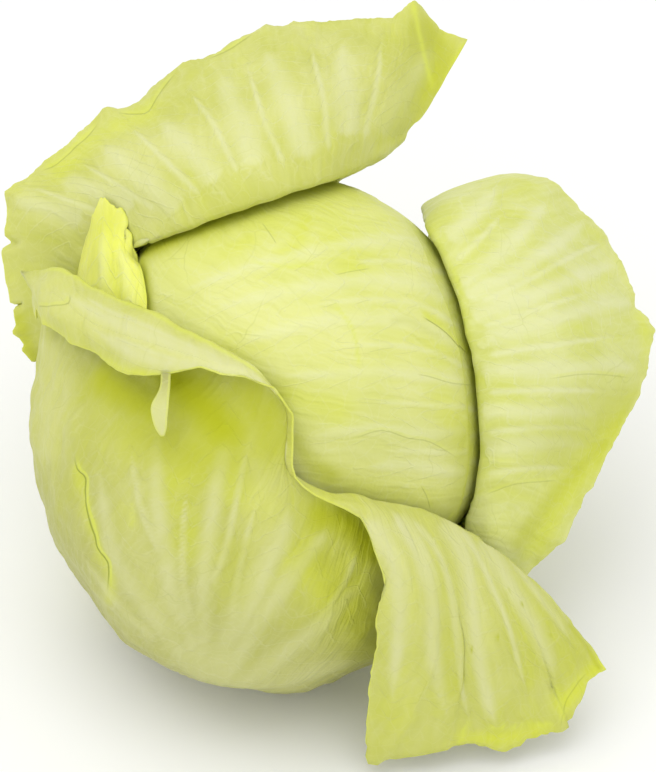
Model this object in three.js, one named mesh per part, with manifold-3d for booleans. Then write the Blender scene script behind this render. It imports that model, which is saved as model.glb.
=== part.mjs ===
// Green cabbage: a round head on a short stem, with four loose outer leaves peeled back from it.
// Millimetres, +Z up. The origin is the middle of the flat spot that the cabbage rests on.
import * as THREE from 'three';
import Module from 'manifold-3d';
import { mergeVertices } from 'three/addons/utils/BufferGeometryUtils.js';

const wasm = await Module();
wasm.setup();

// Driving dimensions
const HEAD_RADIUS = 77;
const HEAD_DEPTH = 106;
const HEAD_SQUARENESS = 2.3;
const HEAD_HEIGHT = 122;
const WRAPPER_OFFSET = 1.5;
const WRAPPER_THICKNESS = 1.2;
const LEAF_THICKNESS = 1.5;
const STEM_RADIUS = 18;
const STEM_BOTTOM = 9;
const STEM_TOP = 20;
const BASE_DEPTH = 130;
const REST_SPOT = [-0.5, 7];
const LEAN = [0.2506, 0.9023, 0.3509];
const VIEW_LIFT = THREE.MathUtils.degToRad(40);
const VIEW_DISTANCE = 1500;
const TAU = 2 * Math.PI;

// Two sets of axes. The sight axes run right, up and towards a viewer who looks down on the cabbage
// from VIEW_LIFT above the table, with their zero in the middle of the head. The plant axes run up the
// lean of the plant, towards the viewer and to the right.
const axis = new THREE.Vector3(...LEAN).normalize();
const near = new THREE.Vector3(0, 0, 1).addScaledVector(axis, -axis.z).normalize();
const side = new THREE.Vector3().crossVectors(axis, near);

// A point read off along the line of sight: right and up as they look at the middle of the head,
// and how much nearer than the middle of the head.
function seen(right, up, towards) {
  const scale = 1 - towards / VIEW_DISTANCE;
  return new THREE.Vector3(right * scale, up * scale, towards);
}

// A point round the plant: angle in degrees from the viewer's side through the right,
// distance from the plant's axis and height above its base.
function round(angle, radius, height) {
  const a = THREE.MathUtils.degToRad(angle);
  return new THREE.Vector3()
    .addScaledVector(axis, height - BASE_DEPTH)
    .addScaledVector(near, radius * Math.cos(a))
    .addScaledVector(side, radius * Math.sin(a));
}

// A point on the head, tilt degrees away from its top, lifted off it by offset.
function onHead(angle, tilt, offset) {
  const t = THREE.MathUtils.degToRad(tilt);
  const power = tilt > 90 ? 2 / HEAD_SQUARENESS : 1;
  const radius = (HEAD_RADIUS + offset) * Math.sin(t) ** power;
  const depth = tilt > 90 ? -(HEAD_DEPTH + offset) * Math.abs(Math.cos(t)) ** power
    : (HEAD_RADIUS + offset) * Math.cos(t);
  return round(angle, radius, BASE_DEPTH + depth);
}

// Pull a point straight towards or away from the middle of the head until it lies offset above it.
function pressToHead(point, offset) {
  const along = point.dot(axis);
  const out = Math.sqrt(Math.max(point.lengthSq() - along * along, 1e-9));
  let scale = (HEAD_RADIUS + offset) / point.length();
  if (along < 0) {
    const n = HEAD_SQUARENESS;
    const sum = (out / (HEAD_RADIUS + offset)) ** n + (-along / (HEAD_DEPTH + offset)) ** n;
    scale = sum ** (-1 / n);
  }
  return point.clone().multiplyScalar(scale);
}

// Push a point out to at least offset above the head and leave it alone if it is further out.
function clearOfHead(point, offset) {
  const pressed = pressToHead(point, offset);
  return pressed.length() > point.length() ? pressed : point;
}

// From the sight axes to the table: the cabbage stands with its rest spot at the origin.
function toTable(point) {
  const s = Math.sin(VIEW_LIFT);
  const c = Math.cos(VIEW_LIFT);
  return new THREE.Vector3(
    point.x - REST_SPOT[0],
    point.y * s - point.z * c - REST_SPOT[1],
    point.y * c + point.z * s + HEAD_HEIGHT,
  );
}

// A smooth curve through points at uneven stations.
function through(stations, at) {
  const last = stations.length - 1;
  let k = 0;
  while (k < last - 1 && at > stations[k + 1][0]) k += 1;
  const [t0, p0] = stations[k];
  const [t1, p1] = stations[k + 1];
  const slope = (i) => {
    const a = stations[Math.max(i - 1, 0)];
    const b = stations[Math.min(i + 1, last)];
    if (i === 0 || i === last) return b[1].clone().sub(a[1]).divideScalar(b[0] - a[0]);
    const here = stations[i];
    const da = here[0] - a[0];
    const db = b[0] - here[0];
    const left = here[1].clone().sub(a[1]).multiplyScalar(db / da);
    const right = b[1].clone().sub(here[1]).multiplyScalar(da / db);
    return left.add(right).divideScalar(da + db);
  };
  const h = t1 - t0;
  const s = (at - t0) / h;
  const m0 = slope(k).multiplyScalar(h);
  const m1 = slope(k + 1).multiplyScalar(h);
  return p0.clone().multiplyScalar(2 * s ** 3 - 3 * s ** 2 + 1)
    .addScaledVector(m0, s ** 3 - 2 * s ** 2 + s)
    .addScaledVector(p1, -2 * s ** 3 + 3 * s ** 2)
    .addScaledVector(m1, s ** 3 - s ** 2);
}

// Part of a row that runs round the plant: stations of rib number, angle, radius and height,
// filled in at every whole rib so that it keeps round between them.
function ring(stations) {
  const cylinder = stations.map(([u, ...place]) => [u, new THREE.Vector3(...place)]);
  const first = stations[0][0];
  const last = stations[stations.length - 1][0];
  const filled = [];
  for (let u = first; u < last + 1e-9; u += 1) {
    const place = through(cylinder, u);
    filled.push([u, round(place.x, place.y, place.z)]);
  }
  return filled;
}

function smooth(from, to, x) {
  const t = Math.min(Math.max((x - from) / (to - from), 0), 1);
  return t * t * (3 - 2 * t);
}

// A leaf is a sheet through rows of points. Each row crosses all the ribs at one distance from the
// base; the ribs are numbered across it. The sheet gets a thickness, raised ribs that fade towards
// the margin, a waved margin and a floor that it can't go below.
function leafSheet(leaf) {
  const { rows, ribs, steps, outward = 1, thickness = LEAF_THICKNESS, floor = 0 } = leaf;
  const rowAt = (u) => rows.map(([v, stations]) => [v, through(stations, u)]);
  const vs = [0];
  rows.slice(1).forEach(([v], k) => {
    const from = rows[k][0];
    for (let j = 1; j <= steps[k]; j += 1) vs.push(from + ((v - from) * j) / steps[k]);
  });
  const surface = (column, u, v) => {
    const cut = leaf.notch ? leaf.notch(u) * smooth(0.8, 1, v) : 0;
    return through(column, v - cut);
  };
  const mids = [];
  const normals = [];
  const nudgeAcross = 0.02;
  const nudgeAlong = 0.004;
  for (const u of ribs) {
    const here = rowAt(u);
    const before = rowAt(Math.max(u - nudgeAcross, ribs[0]));
    const after = rowAt(Math.min(u + nudgeAcross, ribs[ribs.length - 1]));
    for (const v of vs) {
      const across = surface(after, u, v).sub(surface(before, u, v));
      const along = surface(here, u, Math.min(v + nudgeAlong, 1))
        .sub(surface(here, u, Math.max(v - nudgeAlong, 0)));
      const normal = across.cross(along).normalize().multiplyScalar(outward);
      const point = surface(here, u, v);
      if (leaf.wave) point.addScaledVector(normal, leaf.wave(u, v));
      mids.push(leaf.shape ? leaf.shape(point, u, v) : point);
      normals.push(normal);
    }
  }
  const nu = ribs.length;
  const nv = vs.length;
  const positions = [];
  for (const face of [1, -1]) {
    for (let i = 0; i < nu; i += 1) {
      for (let j = 0; j < nv; j += 1) {
        const rib = leaf.rib ? leaf.rib(ribs[i], vs[j]) : 0;
        const half = thickness / 2 + (face > 0 ? rib : 0);
        const point = toTable(mids[i * nv + j].clone().addScaledVector(normals[i * nv + j], face * half));
        const lowest = floor + (face > 0 ? 0 : thickness);
        positions.push(point.x, point.y, Math.max(point.z, lowest));
      }
    }
  }
  const index = [];
  const quad = (a, b, c, e) => index.push(a, b, c, a, c, e);
  const out = (i, j) => i * nv + j;
  const inn = (i, j) => nu * nv + i * nv + j;
  for (let i = 0; i < nu - 1; i += 1) {
    for (let j = 0; j < nv - 1; j += 1) {
      quad(out(i, j), out(i + 1, j), out(i + 1, j + 1), out(i, j + 1));
      index.push(inn(i, j), inn(i + 1, j + 1), inn(i + 1, j), inn(i, j), inn(i, j + 1), inn(i + 1, j + 1));
    }
  }
  for (let i = 0; i < nu - 1; i += 1) {
    quad(inn(i, 0), inn(i + 1, 0), out(i + 1, 0), out(i, 0));
    quad(out(i, nv - 1), out(i + 1, nv - 1), inn(i + 1, nv - 1), inn(i, nv - 1));
  }
  for (let j = 0; j < nv - 1; j += 1) {
    quad(out(0, j), out(0, j + 1), inn(0, j + 1), inn(0, j));
    quad(inn(nu - 1, j), inn(nu - 1, j + 1), out(nu - 1, j + 1), out(nu - 1, j));
  }
  if (outward < 0) {
    for (let k = 0; k < index.length; k += 3) [index[k + 1], index[k + 2]] = [index[k + 2], index[k + 1]];
  }
  const geometry = new THREE.BufferGeometry();
  geometry.setAttribute('position', new THREE.Float32BufferAttribute(positions, 3));
  geometry.setIndex(index);
  return geometry;
}

function toSolid(geometry) {
  const bare = geometry.clone();
  bare.deleteAttribute('normal');
  bare.deleteAttribute('uv');
  const merged = mergeVertices(bare, 1e-4);
  return new wasm.Manifold(new wasm.Mesh({
    numProp: 3,
    vertProperties: new Float32Array(merged.attributes.position.array),
    triVerts: new Uint32Array(merged.index.array),
  }));
}

function fromSolid(solid) {
  const mesh = solid.getMesh();
  const geometry = new THREE.BufferGeometry();
  geometry.setAttribute('position', new THREE.Float32BufferAttribute(mesh.vertProperties, 3));
  geometry.setIndex(Array.from(mesh.triVerts));
  return geometry;
}

function span(from, to, step) {
  const count = Math.round((to - from) / step);
  return Array.from({ length: count + 1 }, (_, k) => from + ((to - from) * k) / count);
}

// Raised rib lines on whole rib numbers, highest at the base and gone before the margin.
function ribLines(every, height) {
  return (u, v) => {
    const off = Math.abs(u / every - Math.round(u / every));
    return off < 0.2 ? height * (1 - smooth(0.15, 0.95, v)) * smooth(0, 0.06, v) : 0;
  };
}

function material(color, roughness) {
  return new THREE.MeshStandardMaterial({ color, roughness, metalness: 0, side: THREE.DoubleSide });
}

const cabbage = new THREE.Group();

function add(name, geometry, look) {
  const mesh = new THREE.Mesh(geometry, look);
  mesh.name = name;
  cabbage.add(mesh);
  return mesh;
}

// The plant's lean as the table sees it, for the turned pieces.
const upright = toTable(axis).sub(toTable(new THREE.Vector3()));
const leanTurn = new THREE.Quaternion().setFromUnitVectors(new THREE.Vector3(0, 1, 0), upright);

// Head: a ball above its middle, drawn out towards the stem below it.
const headProfile = [];
const HEAD_STEPS = 22;
for (let k = 0; k <= HEAD_STEPS; k += 1) {
  const t = Math.PI * (1 - k / HEAD_STEPS);
  const below = t > Math.PI / 2;
  const power = below ? 2 / HEAD_SQUARENESS : 1;
  const radius = k === 0 || k === HEAD_STEPS ? 0 : HEAD_RADIUS * Math.sin(t) ** power;
  const height = below ? -HEAD_DEPTH * Math.abs(Math.cos(t)) ** power : HEAD_RADIUS * Math.cos(t);
  headProfile.push(new THREE.Vector2(radius, height));
}
const head = add('head', new THREE.LatheGeometry(headProfile, 44), material(0xe2e896, 0.5));
head.quaternion.copy(leanTurn);
head.position.copy(toTable(new THREE.Vector3()));

// Stem: a short stump, cut square across.
const stemLength = STEM_TOP - STEM_BOTTOM;
const stemProfile = [
  new THREE.Vector2(0, 0),
  new THREE.Vector2(STEM_RADIUS - 1.5, 0),
  new THREE.Vector2(STEM_RADIUS, 1.5),
  new THREE.Vector2(STEM_RADIUS, stemLength - 3),
  new THREE.Vector2(STEM_RADIUS - 3, stemLength),
  new THREE.Vector2(0, stemLength),
];
const stem = add('stem', new THREE.LatheGeometry(stemProfile, 28), material(0xdfe0b4, 0.6));
stem.quaternion.copy(leanTurn);
stem.position.copy(toTable(round(0, 0, STEM_BOTTOM)));

// Wrapper leaf: the outermost leaf of the head itself, pressed flat to it, with its free edge
// just short of the fold of the right leaf.
const wrapperRows = [
  [0, [[0, onHead(262, 140, 0)], [1, onHead(300, 140, 0)], [2, onHead(341, 140, 0)],
    [3, onHead(380, 140, 0)], [4, onHead(418, 138, 0)]]],
  [0.15, [[0, onHead(258, 115, 0)], [1, onHead(299, 115, 0)], [2, onHead(341, 115, 0)],
    [3, onHead(383, 115, 0)], [4, onHead(424, 115, 0)]]],
  [0.3, [[0, onHead(255, 92, 0)], [1, onHead(298, 92, 0)], [2, onHead(341, 92, 0)],
    [3, onHead(384, 92, 0)], [4, onHead(426, 92, 0)]]],
  [0.45, [[0, onHead(254, 72, 0)], [1, onHead(297, 71, 0)], [2, onHead(340, 70, 0)],
    [3, onHead(383, 71, 0)], [4, onHead(425, 72, 0)]]],
  [0.6, [[0, onHead(252, 58, 0)], [1, onHead(296, 52, 0)], [2, onHead(340, 48, 0)],
    [3, onHead(384, 49, 0)], [4, onHead(425, 53, 0)]]],
  [0.75, [[0, onHead(248, 52, 0)], [1, onHead(290, 36, 0)], [2, onHead(340, 28, 0)],
    [3, onHead(388, 29, 0)], [4, onHead(427, 38, 0)]]],
  [0.88, [[0, onHead(240, 46, 0)], [1, onHead(270, 26, 0)], [2, onHead(340, 10, 0)],
    [3, onHead(410, 15, 0)], [4, onHead(438, 29, 0)]]],
  [1, [[0, onHead(232, 42, 0)], [1, onHead(215, 28, 0)], [2, onHead(180, 16, 0)],
    [3, onHead(125, 15, 0)], [4, onHead(96, 22, 0)]]],
];
add('wrapper_leaf', leafSheet({
  rows: wrapperRows,
  ribs: span(0, 4, 0.2),
  steps: [2, 2, 2, 2, 2, 2, 3],
  thickness: WRAPPER_THICKNESS,
  shape: (point) => pressToHead(point, WRAPPER_OFFSET),
}), material(0xe6ec9c, 0.45));

// Inner left leaf: hugs the head's left side; its bright upper lobe stands up between the head and
// the folded flap of the front leaf.
const innerRows = [
  [0, ring([[0, 268, 21, 24], [6, 314, 21, 24]])],
  [0.1, ring([[0, 262, 45, 30], [6, 312, 45, 30]])],
  [0.22, ring([[0, 260, 63, 46], [6, 312, 63, 46]])],
  [0.34, ring([[0, 259, 76, 70], [6, 310, 76, 70]])],
  [0.46, ring([[0, 260, 82, 98], [3, 284, 81.5, 100], [6, 308, 81.5, 100]])],
  [0.58, ring([[0, 261, 85, 118], [3, 284, 83, 126], [6, 306.5, 81.5, 127]])],
  [0.7, [[0, seen(-88, 10, -8)], [1, seen(-88, 20, 0)], [2, seen(-86, 27, 11)], [3, seen(-81, 28, 22)],
    [4, seen(-74, 27, 34)], [5, seen(-67, 24, 45)], [6, seen(-60.5, 21, 54)]]],
  [0.8, [[0, seen(-88, 22, -6)], [1, seen(-88, 32, 1)], [2, seen(-86, 38, 8)], [3, seen(-80, 41, 18)],
    [4, seen(-73, 42, 27)], [5, seen(-67, 40, 35)], [6, seen(-61.5, 37, 42)]]],
  [0.9, [[0, seen(-87, 32, -5)], [1, seen(-87, 42, 0)], [2, seen(-84, 50, 7)], [3, seen(-79, 54, 14)],
    [4, seen(-74, 54, 20)], [5, seen(-69, 51, 25)], [6, seen(-64.5, 47, 29)]]],
  [1, [[0, seen(-86, 42, -2)], [1, seen(-84, 54, 5)], [2, seen(-81.5, 65, 12)], [3, seen(-77.5, 71, 17)],
    [4, seen(-72.5, 69, 19)], [5, seen(-69, 63, 21)], [6, seen(-66, 55, 24)]]],
];
add('leaf_left_inner', leafSheet({
  rows: innerRows,
  ribs: span(0, 6, 0.5),
  steps: [1, 2, 2, 2, 2, 2, 2, 2, 2],
  rib: ribLines(1, 0.5),
  notch: (u) => 0.025 * (1 - Math.cos(TAU * u)) / 2,
}), material(0xdfe46e, 0.5));

// Right leaf: comes up round the head's right and back, folds outward at its crest close to the
// head, and spreads to the right with a finely scalloped margin.
const rightRows = [
  [0, ring([[0, 85, 21, 17], [10, 135, 21, 17]])],
  [0.07, ring([[0, 74, 42, 17], [5, 108, 42, 19], [10, 148, 42, 21]])],
  [0.15, ring([[0, 70, 63, 25], [5, 104, 64, 29], [10, 158, 62, 33]])],
  [0.24, ring([[0, 69, 81, 42], [5, 102, 81, 56], [10, 164, 79.5, 60]])],
  [0.33, ring([[0, 69, 91, 58], [2, 76, 88, 74], [5, 98, 85, 90], [10, 166, 84, 92]])],
  [0.42, ring([[0, 69.5, 96, 69], [1, 71, 93.5, 80], [2, 75, 90, 94], [3, 79, 87, 107], [5, 90, 84.5, 124],
    [8, 122, 83, 138], [10, 158, 84, 144]])],
  [0.46, [...ring([[0, 69.6, 97.5, 72], [1, 70.5, 93, 86], [2, 73, 90, 100], [3, 76.5, 87, 114]]),
    [4, seen(78.8, -29, 10)], [5, seen(81.5, -16, 9)], [6, seen(82.5, -1, 6)], [7, seen(81.6, 12, 0)],
    [8, seen(75.6, 29, -14)], [9, seen(61.5, 42, -40)], [10, seen(48, 43, -58)]]],
  [0.5, [[0, round(69.6, 98.5, 74)], [1, seen(74, -68, 10)], [2, seen(76, -55, 11)], [3, seen(78.6, -38, 13)],
    [4, seen(79.6, -20, 15)], [5, seen(78.4, -3, 19)], [6, seen(75.5, 16, 26)], [7, seen(71, 30, 26)],
    [8, seen(63.5, 50, 13)], [9, seen(57, 63, -20)], [10, seen(60, 60, -50)]]],
  [0.55, [[0, seen(74, -84, 14)], [1, seen(71.5, -68, 18)], [2, seen(73, -55, 21)], [3, seen(75.5, -38, 24)],
    [4, seen(75.8, -20, 29)], [5, seen(74.5, -3, 33)], [6, seen(70.8, 15, 38)], [7, seen(67.3, 30, 36)],
    [8, seen(60.6, 47, 27)], [8.6, seen(55, 57.5, 16)], [9, seen(53.5, 62, -4)], [9.5, seen(54, 66, -25)],
    [10, seen(61, 65, -45)]]],
  [0.62, [[0, seen(78, -82, 17)], [1, seen(79, -68, 23)], [2, seen(81, -54, 27)], [3, seen(84, -37, 31)],
    [4, seen(85, -18, 36)], [5, seen(84, -1, 39)], [6, seen(81, 19, 41)], [7, seen(76, 36, 38)],
    [8, seen(67.5, 53, 29)], [9, seen(59, 66.5, 5)], [9.5, seen(60, 70, -20)], [10, seen(64, 68, -42)]]],
  [0.75, [[0, seen(84, -84, 12)], [1, seen(90, -70, 16)], [2, seen(97, -56, 18)], [3, seen(102, -38, 21)],
    [4, seen(107, -18, 24)], [5, seen(111, 2, 26)], [6, seen(110, 22, 27)], [7, seen(103, 40, 25)],
    [8, seen(93, 57, 17)], [9, seen(77, 71.5, -2)], [9.5, seen(72, 75, -22)], [10, seen(70, 71.5, -40)]]],
  [0.88, [[0, seen(89, -87, 0)], [1, seen(98, -74, 1)], [2, seen(108, -60, 0)], [3, seen(114, -42, 0)],
    [4, seen(122, -22, 0)], [5, seen(131, 0, 0)], [6, seen(131, 18, -1)], [7, seen(123, 38, -2)],
    [8, seen(111, 57, -5)], [9, seen(94, 75.5, -14)], [9.5, seen(83, 77.8, -28)], [10, seen(78, 73, -42)]]],
  [1, [[0, seen(94, -89, -12)], [1, seen(105, -77, -14)], [2, seen(116, -63, -17)], [3, seen(123, -46, -20)],
    [3.6, seen(131, -32, -22)], [4.4, seen(144, -12, -25)], [5, seen(147, 1, -27)], [5.6, seen(148, 14, -29)],
    [6.3, seen(140, 28, -30)], [7, seen(134, 45, -30)], [8, seen(121.5, 62, -29)], [9, seen(105, 77, -29)],
    [9.5, seen(94, 78.5, -35)], [10, seen(86, 75, -46)]]],
];
add('leaf_right', leafSheet({
  rows: rightRows,
  ribs: span(0, 10, 0.4),
  steps: [1, 2, 2, 2, 2, 1, 1, 2, 2, 3, 3, 3],
  floor: 2.6,
  shape: (point) => clearOfHead(point, 3.4),
  rib: ribLines(0.8, 0.6),
  wave: (u, v) => 1.2 * smooth(0.85, 1, v) * Math.sin(TAU * 0.62 * u),
  notch: (u) => 0.012 * (1 - Math.cos(TAU * 1.25 * u)) / 2,
}), material(0xd9df8a, 0.5));

// Back leaf: rises behind the head, comes forward over its top, and folds back over itself, so that
// a broad band of it shows above the head. Its left end is torn.
const backRows = [
  [0, ring([[0, 250, 21, 8], [13, 138, 21, 7]])],
  [0.06, ring([[0, 262, 42, 10], [4, 232, 42, 9], [9, 184, 42, 9], [13, 120, 42, 11]])],
  [0.12, ring([[0, 266, 56, 20], [4, 236, 58, 18], [9, 180, 57, 17], [13, 114, 57, 17]])],
  [0.19, ring([[0, 264, 68, 38], [4, 238, 79, 38], [9, 184, 79, 36], [13, 122, 80, 38]])],
  [0.27, ring([[0, 262, 83, 64], [4, 240, 90, 66], [9, 188, 89.5, 68], [13, 128, 91, 66]])],
  [0.35, ring([[0, 259, 88, 84], [4, 242, 91, 96], [9, 190, 90.5, 100], [13, 134, 92, 98]])],
  [0.41, ring([[0, 257, 90, 93], [2, 253, 92, 112], [4, 247, 90, 126], [9, 192, 89.5, 132], [13, 150, 90.5, 128]])],
  [0.45, ring([[0, 256.5, 91, 95], [2, 255, 92.5, 117], [4, 251, 88.5, 140], [6, 241, 85, 156], [9, 195, 84, 161],
    [13, 164, 86, 158]])],
  [0.49, ring([[0, 256, 92, 97], [2, 258, 92, 121], [4, 256, 86, 150], [6, 250, 75, 176], [9, 200, 69, 188],
    [11, 189, 69, 187], [13, 181, 73, 182]])],
  [0.54, [[0, round(256, 92, 98)], [2, seen(-88, 31, -24)], [3, seen(-84, 44, -20)], [4, seen(-74, 51, -10)],
    [5, seen(-61, 57, 17)], [6, seen(-42, 65.5, 34)], [7, seen(-26, 73, 42)], [8, seen(-11, 79, 40)],
    [9, seen(4, 84, 32)], [10, seen(14, 85.5, 21)], [11, seen(19, 84, 4)], [12, seen(22.5, 82, -14)],
    [13, seen(24.5, 80.5, -32)]]],
  [0.58, [[0, seen(-92, 2, -33)], [1, seen(-91, 16, -26)], [2, seen(-88, 30, -17)], [3, seen(-84, 42, -9)],
    [4, seen(-73, 46, 3)], [5, seen(-59, 49.6, 29)], [6, seen(-44, 56.8, 44)], [7, seen(-28, 63.2, 51)],
    [8, seen(-12, 69, 51)], [9, seen(3, 73.6, 46)], [10, seen(14, 76.5, 37)], [11, seen(24, 79.7, 19)],
    [12, seen(34, 84.6, 0)], [13, seen(42, 91, -20)]]],
  [0.65, [[0, seen(-96, 1, -36)], [1, seen(-97, 15, -28)], [2, seen(-96, 30, -19)], [3, seen(-92, 45, -10)],
    [4, seen(-81, 53, 1)], [5, seen(-65, 57, 22)], [6, seen(-51, 65.5, 42)], [7, seen(-34, 73, 52)],
    [8, seen(-16, 79, 53)], [9, seen(1, 84, 48)], [10, seen(15, 87, 38)], [11, seen(27, 89.5, 20)],
    [12, seen(38, 94, -2)], [13, seen(47, 97.5, -24)]]],
  [0.82, [[0, seen(-100, 2, -38)], [1, seen(-104, 15, -34)], [2, seen(-107, 30, -28)], [3, seen(-106, 49, -19)],
    [4, seen(-97, 63, -7)], [5, seen(-80, 74, 8)], [6, seen(-64, 86, 20)], [7, seen(-44, 95, 27)],
    [8, seen(-23, 104, 29)], [9, seen(-2, 112, 24)], [10, seen(18, 114, 12)], [11, seen(34, 115, -6)],
    [12, seen(46, 117, -24)], [13, seen(54, 104.5, -36)]]],
  [1, [[0, seen(-104, 3, -40)], [1, seen(-112, 13, -40)], [2, seen(-117, 28, -38)], [3, seen(-121.5, 50, -34)],
    [4, seen(-118, 73, -29)], [4.5, seen(-108, 79, -27)], [5, seen(-96, 89, -24)], [5.5, seen(-87, 96, -23)],
    [6, seen(-77, 107, -22)], [6.5, seen(-67, 107.5, -21)], [7, seen(-54, 118, -20)],
    [8, seen(-30, 130, -22)], [9, seen(-4, 141.5, -30)], [10, seen(20, 143.5, -38)], [11, seen(41, 144, -46)],
    [12, seen(50, 150.5, -54)], [13, seen(71, 134.5, -62)]]],
];
add('leaf_back', leafSheet({
  rows: backRows,
  ribs: span(0, 13, 0.5),
  steps: [1, 2, 2, 2, 2, 2, 1, 1, 2, 2, 2, 3, 4],
  outward: -1,
  shape: (point) => clearOfHead(point, 6),
  rib: ribLines(1, 0.7),
  wave: (u, v) => smooth(0.85, 1, v) * (0.9 * Math.sin(TAU * 0.55 * u) - 1.6 * smooth(3.5, 5, u)
    * smooth(8.5, 7.5, u)),
  notch: (u) => 0.02 * (1 - Math.cos(TAU * 0.9 * u)) / 2 + (u < 3.6 ? 0.05 * Math.abs(Math.sin(TAU * 0.7 * u)) : 0),
}), material(0xd4da83, 0.5));

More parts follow.
